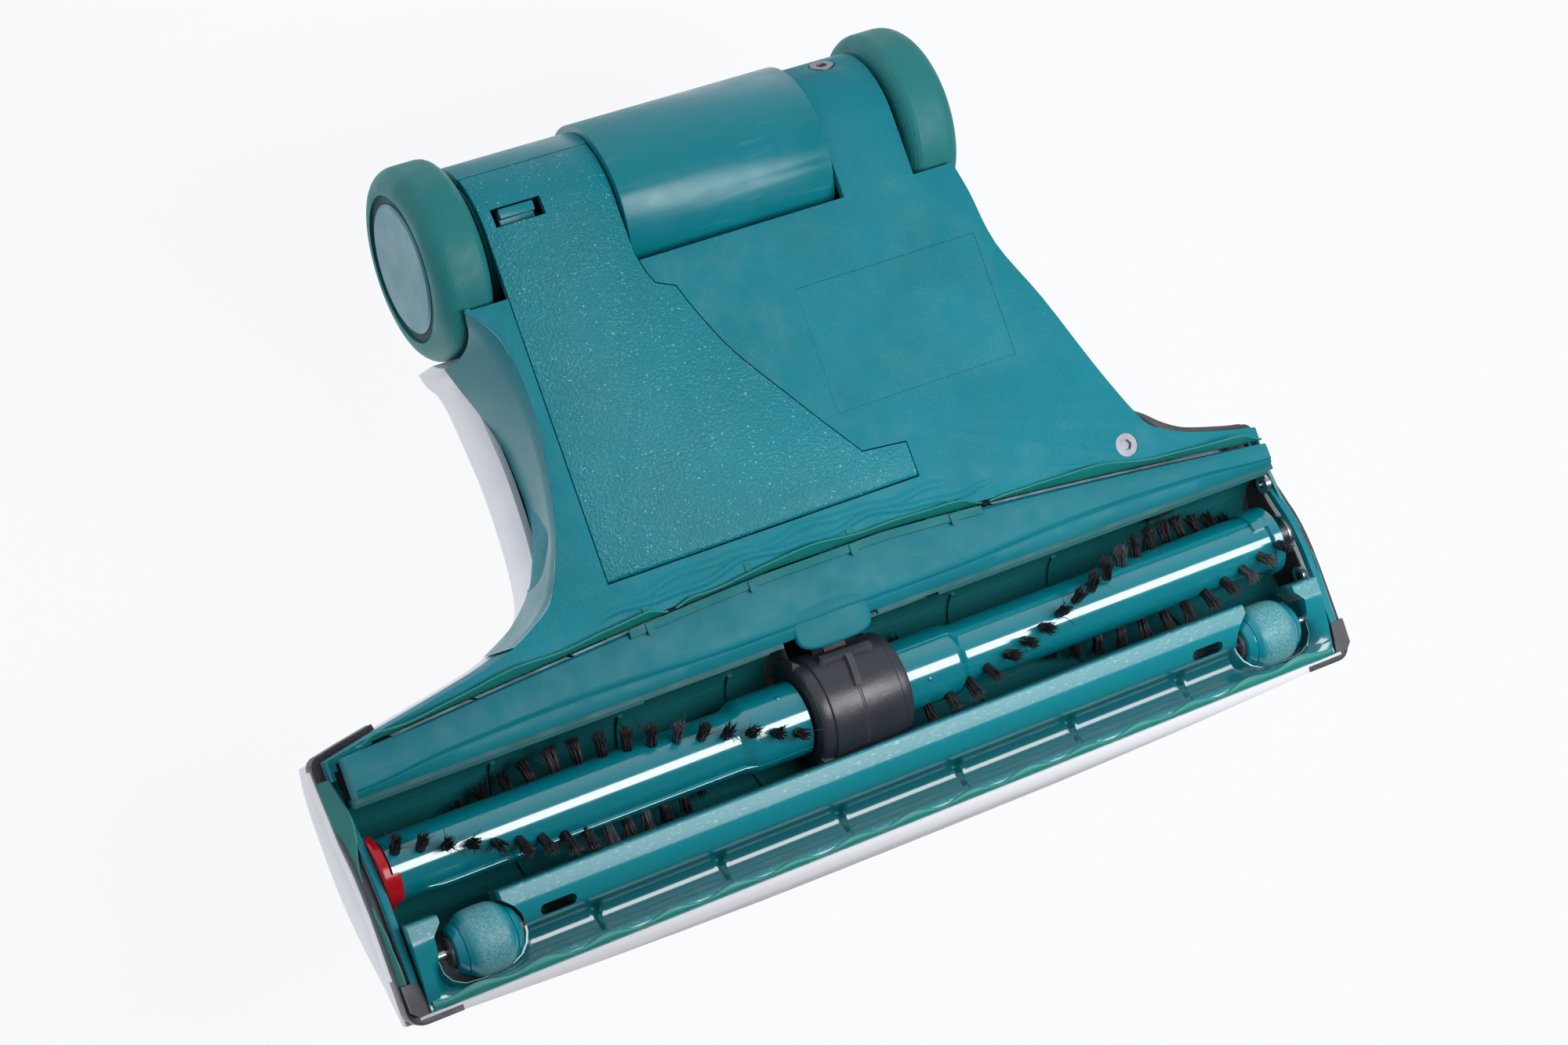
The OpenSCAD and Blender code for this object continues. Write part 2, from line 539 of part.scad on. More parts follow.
// Front frame: the satin bar, the air channel ahead of it and the blocks that hold the rollers.
roller_gap = roller_l/2 + 1;
rib_pitch = (roller_x - 37.5)/2.5;
frame_x = chamber_x - 4;
bar_front = roller_y - 2.5;
module front_frame() color(bright_teal) difference() {
    union() {
        along_x(end_shift - frame_x, frame_x) polygon([
            [mouth_front, base_z + 0.8], [mouth_front - 0.8, base_z], [mouth_front - 5, base_z],
            [mouth_front - 8, base_z + 0.7], [mouth_front - 11, base_z + 2.2],
            [bar_front + 1.2, base_z + 4.4], [bar_front - 2, base_z + 8.4],
            [nose_y + 12, base_z + 8.4], [nose_y + 9, base_z + 4.4], [nose_y + 7, base_z + 4.4],
            [nose_y + 7, rim_z + 3], [mouth_front - 7.4, rim_z + 3], [mouth_front - 3.4, base_z + 7],
            [mouth_front, base_z + 4]]);
        // Feet that tie the frame to the chamber.
        ends() for (x = [30, 90, frame_x - 4])
            along_x(x, x + 4) polygon([[mouth_front - 12, rim_z + 2], [mouth_front - 12, brush_z + 6],
                [brush_y - chamber_r - 2.4, brush_z + 6], [brush_y - chamber_r - 2.4, rim_z + 2]]);
        // Teardrop ribs across the air channel.
        for (i = [-2.5:2.5]) translate([i*rib_pitch, bar_front - 3, base_z + 5]) hull() {
            cylinder(r = 2, h = 4, $fn = 24);
            translate([0, -5, 1]) cylinder(r = 0.6, h = 3, $fn = 12);
        }
    }
    // Bays of the rollers, and the bores of their pins.
    ends() {
        block([roller_x - roller_gap, roller_y - roller_r - 1, -1],
            [roller_x + roller_gap, mouth_front + 1, rim_z + 2]);
        xbar(roller_pin_r, roller_x - roller_gap - 6, roller_x + roller_gap + 6, roller_y, roller_r);
        xbar(roller_r + 0.8, roller_x - roller_gap, roller_x + roller_gap, roller_y, roller_r);
        // Slot near each end of the bar.
        block([roller_x - 33.2, bar_front - 1, base_z - 1], [roller_x - 20.7, bar_front + 3, base_z + 6]);
    }
}
module front_lip() color(rubber_green) rise(base_z + 1, base_z + 4.2)
    polygon(concat(
        [for (i = [-24:24]) let (x = i/24*(frame_x - 2)) [x, nose_y + 9.2 + 0.9*cos(x*360/rib_pitch)]],
        [[frame_x - 2, nose_y + 7.4], [2 - frame_x, nose_y + 7.4]]));

module rating_plate() color("#3d9a98")
    block([label[0] + 0.1, label[1] + 0.1, base_z + 0.1],
        [label[2] - 0.1, label[3] - 0.1, base_z + label_dip]);

// ---------------------------------------------------------------- duct

module suction_duct() color("#195f60") difference() {
    intersection() {
        difference() {
            rise(top_z + seat, duct_h) offset(delta = cover_gap + 3) duct_outline();
            rise(0, duct_h - wall) offset(delta = cover_gap + 1) duct_outline();
        }
        rise(0, 60) offset(delta = -wall - 0.3) body_outline(nose_y + 8);
    }
    // Mouth towards the brush, and the end that opens into the left cheek.
    block([cover_right + 1, brush_y, 0], [cover_x - 1, cover_front, duct_h - wall]);
    along_x(-head_w, head_w) translate([brush_y, brush_z]) circle(r = chamber_r + 2.2);
    block([drum_x1 - 2, axle_y - cheek_r - 0.4, 0], [head_w, axle_y + 20, 60]);
    block([-head_w, axle_y - 33.4, 0], [drum_x1 + 2, axle_y + 20, 60]);
    // The duct clears the rear bar, the lips, the drive arm and the wheel.
    block([-head_w, brush_y, 0], [head_w, lip_y(0) + 0.3, bar_top]);
    block([-head_w, brush_y, 0], [head_w, mouth_rear + seat, brush_z + 1]);
    xbar(arch_r, cheek_x, head_w/2, axle_y, axle_z);
    along_x(housing_x - arm_w/2 - 0.5, housing_x + arm_w/2 + 0.5) offset(delta = 0.5) arm_section(0);
}
module duct_outline() union() {
    cover_outline();
    translate([cover_right, mouth_rear - 2]) square([cover_x - cover_right, cover_front - mouth_rear + 3]);
}

// ---------------------------------------------------------------- brush drive

arm_w = belt_w + 8;
module arm_section(t) hull() {
    translate([brush_y, brush_z]) circle(r = brush_pulley_r + 3.8 - t, $fn = 32);
    translate([motor_y, motor_z]) circle(r = motor_pulley_r + 4.6 - t, $fn = 32);
}
module drive_housing() color("#2c2b30") difference() {
    union() {
        xbar(housing_r, housing_x - housing_w/2, housing_x + housing_w/2, brush_y, brush_z);
        along_x(housing_x - arm_w/2, housing_x + arm_w/2) arm_section(0);
    }
    along_x(housing_x - arm_w/2 + 2, housing_x + arm_w/2 - 2) arm_section(2);
    xbar(shaft_r + 3 + seat/2, housing_x - housing_w, housing_x + housing_w, brush_y, brush_z);
    xbar(4, housing_x - housing_w, housing_x + housing_w, motor_y, motor_z);
}
module drive_bushes() color("#b9a06a") for (s = [-1, 1]) let (x = housing_x + s*(housing_w/2 - 4.5))
    difference() {
        xbar(shaft_r + 3, x - 3.5, x + 3.5, brush_y, brush_z);
        xbar(shaft_r + run, x - 4, x + 4, brush_y, brush_z);
    }
module belt_loop(t) hull() {
    translate([brush_y, brush_z]) circle(r = brush_pulley_r + t, $fn = 64);
    translate([motor_y, motor_z]) circle(r = motor_pulley_r + t, $fn = 64);
}
module drive_belt() color("#202020") along_x(housing_x - belt_w/2, housing_x + belt_w/2) difference() {
    belt_loop(1.5);
    belt_loop(0.35);
}

motor_x1 = housing_x - arm_w/2 - 20.5;
motor_x0 = motor_x1 - motor_l;
module motor() color("#8d9094") difference() {
    union() {
        xbar(motor_r, motor_x0, motor_x1, motor_y, motor_z);
        xbar(6, motor_x0 - 4, motor_x1 + 2, motor_y, motor_z);
    }
    xbar(2.5 + run, motor_x0 + 4, motor_x1 + 3, motor_y, motor_z);
}
module motor_cradle() color("#20696a") difference() {
    for (x = [motor_x0 + 6, motor_x1 - 14])
        block([x, motor_y - motor_r - 1, top_z], [x + 8, motor_y + motor_r + 1, motor_z - 4]);
    xbar(motor_r + 0.05, motor_x0 - 1, motor_x1 + 1, motor_y, motor_z);
    // The cradle stands beside the duct, on the plate alone.
    rise(0, duct_h + 0.3) offset(delta = cover_gap + 3.3) duct_outline();
}
module motor_shaft() color("silver")
    xbar(2.5, motor_x0 + 5, housing_x + arm_w/2 - 2.6, motor_y, motor_z);
module motor_pulley() color("#d9d9d0") difference() {
    xbar(motor_pulley_r, housing_x - belt_w/2 - 1, housing_x + belt_w/2 + 1, motor_y, motor_z);
    xbar(2.51, housing_x - belt_w, housing_x + belt_w, motor_y, motor_z);
}
board_z = top_z + 6 + seat;
module circuit_board() color("#2f6b3a") let (w = board[3] - board[1]) union() {
    block([board[0], board[1], board_z], [board[2], board[3], board_z + 1.6]);
    block([board[0] + 4, lead_y + lead_r + clear, board_z + 1.5],
        [board[0] + 16, board[1] + 0.6*w, board_z + 12]);
    translate([board[2] - 9, board[3] - 0.3*w, board_z + 1.5]) cylinder(r = 0.18*w, h = 13);
}
// Lead from the board to the motor's end.
lead_r = 1.4;
lead_x = board[0] + 10;
lead_y = board[1] + lead_r + 0.8;
module motor_lead() color("#303030") union() {
    translate([lead_x, lead_y, board_z + 1.65]) cylinder(r = lead_r, h = motor_z - board_z - 4);
    translate([lead_x, lead_y, motor_z - 2.35]) sphere(r = lead_r);
    translate([lead_x, lead_y, motor_z - 2.35]) rotate([90, 0, 0])
        cylinder(r = lead_r, h = lead_y - motor_y - sqrt(pow(motor_r, 2) - 4) - 0.5);
}

// ---------------------------------------------------------------- brush

bearing_r = 3;
end_r = 12;
shaft_grip = 30;
left_in = housing_x + housing_w/2 + 1.2;
right_in = housing_x - housing_w/2 - 1.2;
tube_end = chamber_x - 3.2;
module drive_shaft() color("silver")
    xbar(shaft_r, right_in - shaft_grip + 0.6, left_in + shaft_grip - 0.6, brush_y, brush_z);
module brush_pulley() color("#d9d9d0") difference() {
    xbar(brush_pulley_r, housing_x - belt_w/2 - 1, housing_x + belt_w/2 + 1, brush_y, brush_z);
    xbar(shaft_r + 0.01, housing_x - belt_w, housing_x + belt_w, brush_y, brush_z);
}
// One brush tube on the left side: a wide neck at the drive end and a bore for its bearing pin.
module tube(in_x, end_x, neck_r1, neck_l, taper_l) difference() {
    turned_x(brush_y, brush_z) polygon([[0, in_x], [neck_r1, in_x], [neck_r1, in_x + neck_l],
        [tube_r, in_x + neck_l + taper_l], [tube_r, end_x], [0, end_x]]);
    xbar(shaft_r + 0.01, in_x - 1, in_x + shaft_grip - 0.2, brush_y, brush_z);
    xbar(bearing_r + run, end_x - 10, end_x + 1, brush_y, brush_z);
}
// Ledge moulded along a tube, at angle a from straight down towards the back.
ledge_h = 0.9;
ledge_w = 3.2;
module ledge(x0, x1, a) intersection() {
    xbar(tube_r + ledge_h, x0, x1, brush_y, brush_z);
    translate([0, brush_y, brush_z]) rotate([a, 0, 0])
        block([x0, -ledge_w, -tube_r - 2], [x1, ledge_w, -tube_r + 0.9]);
}
left_ledge = -70;
right_ledge = 62;
module brush_tube_left() color(bright_teal) union() {
    tube(left_in, tube_end, neck_r1 = 12.4, neck_l = 19, taper_l = 6);
    for (a = [0, 180]) ledge(left_in + 25, tube_end - 18, left_ledge + a);
}
module brush_tube_right() color(bright_teal) side(-1) let (end_x = tube_end - end_shift) union() {
    tube(-right_in, end_x, neck_r1 = 12, neck_l = 20, taper_l = 4);
    difference() {
        xbar(end_r, end_x - 2.4, end_x, brush_y, brush_z);
        xbar(tube_r - 1, end_x - 3, end_x + 1, brush_y, brush_z);
    }
    for (a = [0, 180]) ledge(26 - right_in, end_x - 18, right_ledge + a);
}
module end_cap() color("#c8242a") difference() {
    union() {
        xbar(end_r, tube_end + 0.02, tube_end + 2, brush_y, brush_z);
        difference() {
            xbar(end_r, tube_end - 3, tube_end + 0.1, brush_y, brush_z);
            xbar(tube_r + 0.02, tube_end - 4, tube_end + 0.02, brush_y, brush_z);
        }
    }
    xbar(bearing_r + run, tube_end - 4, tube_end + 3, brush_y, brush_z);
}
module bearing_pins() color("silver") for (s = [-1, 1]) side(s) {
    xbar(bearing_r, tube_end - (s > 0 ? 0 : end_shift) - 9, shell_x - wall, brush_y, brush_z);
    xbar(bearing_r + 4, shell_x - wall - 1.4, shell_x - wall, brush_y, brush_z);
}
// Two rows of tufts wind round each tube. A tuft stands at angle a from straight down to the back.
module tuft(x, r, a) translate([x, brush_y, brush_z]) rotate([180 + a, 0, 0])
    translate([0, 0, r]) cylinder(r = tuft_r, h = tip_r - r, $fn = 16);
// Whether a tuft at angle a stands on a ledge at angle b or opposite it.
function on_ledge(a, b) = abs(((a - b + 90) % 180 + 180) % 180 - 90) < 30;
function foot(x, a, x0, neck, neck_l, taper_l, ledge_a) = let (d = x - tuft_r - x0 - neck_l)
    0.02 + (d < 0 ? neck : d < taper_l ? neck + (tube_r - neck)*d/taper_l
        : on_ledge(a, ledge_a) ? tube_r + ledge_h : tube_r);
module tufts(x0, end_x, neck, neck_l, taper_l, start, turn, ledge_a)
    for (x = [x0 + 4:tuft_pitch:end_x - 5], half = [0, 180]) let (a = start + half + turn*(x - x0))
        tuft(x, foot(x, a, x0, neck, neck_l, taper_l, ledge_a), a);
module bristles_left() color("#15151a")
    tufts(left_in, tube_end, 12.4, 19, 6, -22, row_turn, left_ledge);
module bristles_right() color("#15151a") side(-1)
    tufts(-right_in, tube_end - end_shift, 12, 20, 4, -120, row_turn_right, right_ledge);

// ---------------------------------------------------------------- small pieces

module torx_screw(l) difference() {
    union() {
        cylinder(r1 = 3, r2 = 4, h = 1);
        translate([0, 0, 1]) cylinder(r = 4, h = 1.2);
        translate([0, 0, -l]) cylinder(r = 1.45, h = l + 0.5);
    }
    translate([0, 0, 1]) cylinder(r = 2, h = 2, $fn = 6);
}
module housing_screws() color("silver") {
    translate([screw_spot[0], screw_spot[1], base_z + 2.35]) rotate([180, 0, 0]) torx_screw(8);
    translate([cheek_screw[0], axle_y, axle_z]) rotate([180 + cheek_screw[1], 0, 0])
        translate([0, 0, cheek_r - 2.15]) torx_screw(3);
}
module end_eyelets() color("silver") for (p = [[brush_y + 18.4, brush_z - 1], [brush_y - 15.5, brush_z - 4]])
    side(-1) difference() {
        xbar(3.4, chamber_x - 1.4, shell_x - wall - 0.02, p[0], p[1]);
        xbar(1.6, chamber_x - 2, shell_x, p[0], p[1]);
    }
// Small disc on the rear wall of the chamber, and a peg on its front wall.
disc_r = 5;
peg_r = 2.2;
disc_a = 8.7;
// Distance from the brush axis to a flat end of radius r that touches the round wall.
function to_wall(r) = sqrt(pow(chamber_r, 2) - pow(r, 2));
module vent_disc() color("#6a5f5c") translate([-wing(45.4), brush_y, brush_z]) rotate([disc_a, 0, 0])
    translate([0, to_wall(disc_r) - 1.02, 0]) rotate([-90, 0, 0]) cylinder(r = disc_r, h = 1);
module marker_peg() color("#d8c23a")
    translate([housing_x + housing_w/2 + 11, brush_y - to_wall(peg_r) + 0.1, brush_z])
        rotate([-90, 0, 0]) cylinder(r = peg_r, h = 1.6);

// ---------------------------------------------------------------- wheels and rollers

// Section of a tyre or hub on the left wheel: [radius, distance along X].
module tyre(s) side(s) turned_x(axle_y, axle_z) polygon(concat([[wheel_r - tyre_t + 0.02, wheel_in]],
    arc([wheel_r - shoulder_r, wheel_in + shoulder_r*0.7], [shoulder_r, shoulder_r*0.7], -90, 0, 6),
    arc([wheel_r - shoulder_r, wheel_x - shoulder_r], [shoulder_r, shoulder_r], 0, 90, 8),
    [[wheel_r - tyre_t + 0.02, wheel_x]]));
module hub(s) side(s) let (r1 = wheel_r - tyre_t, r0 = axle_r + run) turned_x(axle_y, axle_z) polygon([
    [r0, wheel_in - 1.2], [r0 + 4, wheel_in - 1.2], [r0 + 4, wheel_in + 6], [r1 - 2.4, wheel_in + 6],
    [r1 - 2.4, wheel_in + 0.6], [r1, wheel_in + 0.6], [r1, wheel_x - 0.8], [cap_r + 0.2, wheel_x - 0.8],
    [cap_r + 0.2, wheel_x - 4], [r0 + 4, wheel_x - 4], [r0 + 4, wheel_in + 9], [r0, wheel_in + 9]]);
module hub_cap(s) side(s) union() {
    xbar(cap_r, wheel_x - 3.9, wheel_x - 0.6, axle_y, axle_z);
    turned_x(axle_y, axle_z) polygon([[0, wheel_x - 0.7], [cap_r, wheel_x - 0.7], [cap_r - 0.8, wheel_x],
        [0, wheel_x]]);
}
module tyre_left() color(rubber_green) tyre(1);
module tyre_right() color(rubber_green) tyre(-1);
module wheel_hub_left() color("#23706f") hub(1);
module wheel_hub_right() color("#23706f") hub(-1);
module hub_cap_left() color("#2d7780") hub_cap(1);
module hub_cap_right() color("#2d7780") hub_cap(-1);
module wheel_axles() color("silver") both()
    xbar(axle_r, cheek_x - 8, wheel_in + 8.6, axle_y, axle_z);

module roller(s) translate([s > 0 ? 0 : end_shift, 0, 0]) side(s) difference() {
    turned_x(roller_y, roller_r) let (h = roller_l/2) polygon(concat(
        [[0, roller_x - h], [roller_r*0.48, roller_x - h],
        [roller_r*0.48, roller_x - h + 2.4]],
        arc([roller_r - 7, roller_x], [7, h - 2.4], -80, 80, 12),
        [[roller_r*0.48, roller_x + h - 2.4], [roller_r*0.48, roller_x + h], [0, roller_x + h]]));
    xbar(roller_pin_r + run, roller_x - roller_l, roller_x + roller_l, roller_y, roller_r);
}
module roller_left() color(bright_teal) roller(1);
module roller_right() color(bright_teal) roller(-1);
module roller_pins() color("silver") ends()
    xbar(roller_pin_r, roller_x - roller_gap - 5, roller_x + roller_gap + 5, roller_y, roller_r);

// ---------------------------------------------------------------- channel cover and its latch

latch_y = axle_y + 3.6;
latch_run = 2;
latch_x = [52.5, 69.8];
module channel_cover() color(teal) difference() {
    union() {
        rise(base_z, top_z) difference() {
            cover_outline();
            translate([-head_w/2, cover_front - 1]) square([head_w, plate_t/2 + 1]);
        }
        xbar(plate_t/2, cover_right, cover_x, pin_y, pin_z);
        xbar(pin_r, cover_right - 3.4, cover_x + 2.8, pin_y, pin_z);
        // Round end, up the back of the cheek.
        intersection() {
            difference() {
                xbar(cheek_r, cheek_edge, cover_x, axle_y, axle_z);
                xbar(cheek_in, cheek_edge - 1, cover_x + 1, axle_y, axle_z);
            }
            wedge(0, cover_wrap, cheek_edge - 1, cover_x + 1, cheek_r + 12);
        }
        // Post that the latch spring leans on.
        block([58.5, axle_y - 14, top_z - 0.1], [64, axle_y - 12, top_z + 5]);
    }
    block([latch_x[0], latch_y - 2.8, 0], [latch_x[1], latch_y + 3.4, axle_z - 12]);
}
// The latch slides forward, against its spring, in the slot of the cover.
module cover_latch() color("#1b6a69") union() {
    block([latch_x[0] + 2.6, latch_y - 0.4, base_z + 1], [latch_x[1] - 2.6, latch_y + 2.8, top_z + 2]);
    block([latch_x[0] + 2.6, latch_y - 5, top_z + 0.1], [latch_x[1] - 2.6, latch_y + 0.5, top_z + 2]);
    block([latch_x[0] - 2, latch_y - 7, top_z + 0.1], [latch_x[1] + 1, latch_y - 3.4, top_z + 2]);
}
module latch_spring() color("silver") translate([61.2, axle_y - 11.98, top_z + 1.5]) rotate([-90, 0, 0])
    difference() {
        cylinder(r = 1.3, h = 12 - 7 + latch_y - axle_y - latch_run - 0.1);
        translate([0, 0, -1]) cylinder(r = 0.8, h = 20);
    }

// ---------------------------------------------------------------- neck

drum_in = drum_r - 2.5;
collar_z0 = axle_z + 25.8;
collar_z1 = axle_z + 41.8;
bearing_z = collar_z0 + 8;
module at_neck() translate([drum_x, axle_y, 0]) children();
module tilt_drum() color("#1c7577") difference() {
    union() {
        xbar(drum_r, drum_x0, drum_x1, axle_y, axle_z);
        at_neck() translate([0, 0, axle_z + 10]) cylinder(r = collar_r, h = collar_z1 - axle_z - 10);
        xbar(8, drum_x0 - 3, drum_x0 + 1, axle_y, axle_z);
        xbar(21, drum_x1 - 1, drum_x1 + 2.8, axle_y, axle_z);
    }
    xbar(drum_in, drum_x0 + 2.5, drum_x1 - 2.5, axle_y, axle_z);
    xbar(18.5, drum_x1 - 4, drum_x1 + 4, axle_y, axle_z);
    at_neck() translate([0, 0, axle_z + 5]) cylinder(r = neck_r - 3.4, h = 60);
    at_neck() translate([0, 0, collar_z0]) cylinder(r = neck_r + 2.4, h = 60);
}
module collar_ring() color("#23706f") at_neck() difference() {
    union() {
        translate([0, 0, bearing_z]) cylinder(r = neck_r + 2.35, h = collar_z1 - bearing_z + 0.1);
        translate([0, 0, collar_z1 + 0.02]) cylinder(r = collar_r, h = 3);
    }
    translate([0, 0, bearing_z - 1]) cylinder(r = neck_r + run, h = 40);
}
module neck_seal() color("#1d1d20") at_neck() difference() {
    translate([0, 0, collar_z0 + 0.02]) cylinder(r = neck_r + 2.2, h = 2.6);
    translate([0, 0, collar_z0 - 1]) cylinder(r = neck_r - 3, h = 6);
}
shroud = [11, 18, neck_r + 10];
module neck_tube() color(teal) at_neck() difference() {
    union() {
        translate([0, 0, collar_z0 + 3]) cylinder(r = neck_r, h = neck_top - collar_z0 - 3);
        translate([0, 0, collar_z0 + 3]) cylinder(r = neck_r + 2, h = bearing_z - collar_z0 - 3.4);
        block([-shroud[0], 0, neck_top - socket_l - 2], [shroud[0], shroud[2], neck_top - 2]);
        // Boss for the release button.
        translate([0, 0, neck_top - socket_l/2]) rotate([90, 0, 0]) cylinder(r = 10, h = neck_r + 6);
    }
    translate([0, 0, 0]) cylinder(r = socket_r - 2.4, h = neck_top + 1);
    translate([0, 0, neck_top - socket_l]) cylinder(r = socket_r, h = socket_l + 1);
    block([2 - shroud[0], shroud[1] + 4, neck_top - socket_l], [shroud[0] - 2, shroud[2] - 2, neck_top + 1]);
    translate([0, -socket_r - 1.4, neck_top - socket_l/2]) rotate([90, 0, 0]) cylinder(r = 7 + run, h = 20);
}
module contact_block() color("#202024") at_neck() union() {
    block([2.1 - shroud[0], shroud[1] + 4.1, neck_top - socket_l + 0.02],
        [shroud[0] - 2.1, shroud[2] - 2.1, neck_top - 22]);
    for (x = [-5, 0, 5]) translate([x, (shroud[1] + shroud[2])/2 + 1, neck_top - 23])
        cylinder(r = 1.2, h = 12);
}
button_in = neck_r + 1;
module release_button() color("#b8bcc0") at_neck() translate([0, -button_in - 1.2, neck_top - socket_l/2])
    rotate([90, 0, 0]) cylinder(r = 7, h = 6);
module button_spring() color("silver") at_neck() translate([0, -socket_r - 1.42, neck_top - socket_l/2])
    rotate([90, 0, 0]) difference() {
        cylinder(r = 4, h = 0.7);
        translate([0, 0, -1]) cylinder(r = 3, h = 4);
    }

base_plate();
upper_housing();
left_cheek();
bumper_left();
bumper_right();
brush_chamber();
rear_bar();
front_frame();
front_lip();
rear_lips();
lip_strips();
side_lips();
rating_plate();
suction_duct();
housing_screws();
end_eyelets();
vent_disc();
marker_peg();
indicator_lens();
bearing_pins();
drive_housing();
drive_bushes();
drive_belt();
motor();
motor_cradle();
circuit_board();
motor_lead();
drive_shaft();
brush_pulley();
brush_tube_left();
brush_tube_right();
bristles_left();
bristles_right();
end_cap();
motor_shaft();
motor_pulley();
wheel_axles();
tyre_left();
tyre_right();
wheel_hub_left();
wheel_hub_right();
hub_cap_left();
hub_cap_right();
roller_pins();
roller_left();
roller_right();
channel_cover();
cover_latch();
latch_spring();
tilt_drum();
collar_ring();
neck_seal();
neck_tube();
contact_block();
release_button();
button_spring();
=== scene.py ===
"""Electric carpet brush head, dressed over its CAD frame. Lengths here are in millimetres,
and every mesh is scaled to metres once, when it is made."""
import json
import math

import bmesh
import bpy
import numpy as np
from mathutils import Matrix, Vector


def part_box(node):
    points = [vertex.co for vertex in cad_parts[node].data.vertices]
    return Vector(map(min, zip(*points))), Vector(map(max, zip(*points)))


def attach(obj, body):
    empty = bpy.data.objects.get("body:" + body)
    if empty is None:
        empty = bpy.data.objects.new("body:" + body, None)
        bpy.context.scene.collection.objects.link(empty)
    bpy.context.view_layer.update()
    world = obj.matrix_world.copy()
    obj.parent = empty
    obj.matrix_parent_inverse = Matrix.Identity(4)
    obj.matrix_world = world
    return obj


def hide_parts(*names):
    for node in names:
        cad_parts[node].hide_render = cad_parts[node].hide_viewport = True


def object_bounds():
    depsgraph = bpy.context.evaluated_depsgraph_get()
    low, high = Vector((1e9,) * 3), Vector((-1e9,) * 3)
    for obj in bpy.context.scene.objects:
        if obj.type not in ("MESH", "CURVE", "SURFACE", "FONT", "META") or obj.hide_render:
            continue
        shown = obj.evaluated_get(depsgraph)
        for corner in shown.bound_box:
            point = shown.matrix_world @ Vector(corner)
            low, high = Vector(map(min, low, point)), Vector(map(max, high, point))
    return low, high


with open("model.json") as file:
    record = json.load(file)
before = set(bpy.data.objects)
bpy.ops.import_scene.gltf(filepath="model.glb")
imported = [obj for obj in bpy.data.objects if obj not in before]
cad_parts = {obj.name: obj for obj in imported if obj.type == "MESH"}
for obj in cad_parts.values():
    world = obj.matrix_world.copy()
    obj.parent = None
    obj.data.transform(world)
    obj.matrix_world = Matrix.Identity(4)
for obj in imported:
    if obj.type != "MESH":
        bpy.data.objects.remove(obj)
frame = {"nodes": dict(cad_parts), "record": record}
cad_box = [list(corner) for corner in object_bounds()]
nodes = frame["nodes"]
bodies = frame["record"]["behaviour"]["bodies"]
body_of = {n: b for b, members in bodies.items() for n in members}
scene = bpy.context.scene
scene.view_settings.view_transform = "Standard"
MM = 0.001
# Points closer than this, in metres, are one point.
SAME_POINT = 2e-6

# ------------------------------------------------------------------ camera, lights and stage


def set_camera():
    """A long lens that looks up at the underside from the left of the head."""
    data = bpy.data.cameras.new("camera")
    data.lens = 74.144
    data.sensor_width = 36
    data.clip_end = 20
    camera = bpy.data.objects.new("camera", data)
    camera.location = (0.4090, -0.0169, -0.9486)
    camera.rotation_euler = [math.radians(a) for a in (-172.21995, 21.35749, -159.26564)]
    scene.collection.objects.link(camera)
    scene.camera = camera


def lamp(name, place, facing, size, radiance):
    """A rectangular lamp at a place, shining the way it faces, as bright as radiance over its
    whole face."""
    data = bpy.data.lights.new(name, "AREA")
    data.shape = "RECTANGLE"
    data.size, data.size_y = size
    data.energy = radiance*math.pi*size[0]*size[1]
    obj = bpy.data.objects.new(name, data)
    obj.location = place
    obj.rotation_euler = Vector(facing).to_track_quat("-Z", "Y").to_euler()
    scene.collection.objects.link(obj)


def node_tree(owner):
    """The owner's shader nodes, emptied."""
    owner.use_nodes = True
    owner.node_tree.nodes.clear()
    return owner.node_tree


def link(tree, source, target):
    """Joins an output to an input."""
    tree.links.new(source, target)


def make_world():
    """White where it is seen. For the rest a pale sky: brighter towards the back and the left
    side of the head, dimmer towards the nose and from straight below."""
    world = bpy.data.worlds.new("studio")
    scene.world = world
    tree = node_tree(world)
    out = tree.nodes.new("ShaderNodeOutputWorld")
    seen = tree.nodes.new("ShaderNodeBackground")
    seen.inputs["Color"].default_value = (1, 1, 1, 1)
    light = tree.nodes.new("ShaderNodeBackground")
    light.inputs["Color"].default_value = (0.93, 0.96, 1, 1)
    coord = tree.nodes.new("ShaderNodeTexCoord")
    lean = tree.nodes.new("ShaderNodeVectorMath")
    lean.operation = "DOT_PRODUCT"
    lean.inputs[1].default_value = (0.30, 0.80, 0.42)
    ramp = tree.nodes.new("ShaderNodeMapRange")
    for key, value in (("From Min", -0.45), ("From Max", 0.85), ("To Min", 0.07), ("To Max", 1.1)):
        ramp.inputs[key].default_value = value
    ray = tree.nodes.new("ShaderNodeLightPath")
    mix = tree.nodes.new("ShaderNodeMixShader")
    link(tree, coord.outputs["Generated"], lean.inputs[0])
    link(tree, lean.outputs["Value"], ramp.inputs["Value"])
    link(tree, ramp.outputs[0], light.inputs["Strength"])
    link(tree, ray.outputs["Is Camera Ray"], mix.inputs[0])
    link(tree, light.outputs[0], mix.inputs[1])
    link(tree, seen.outputs[0], mix.inputs[2])
    link(tree, mix.outputs[0], out.inputs["Surface"])


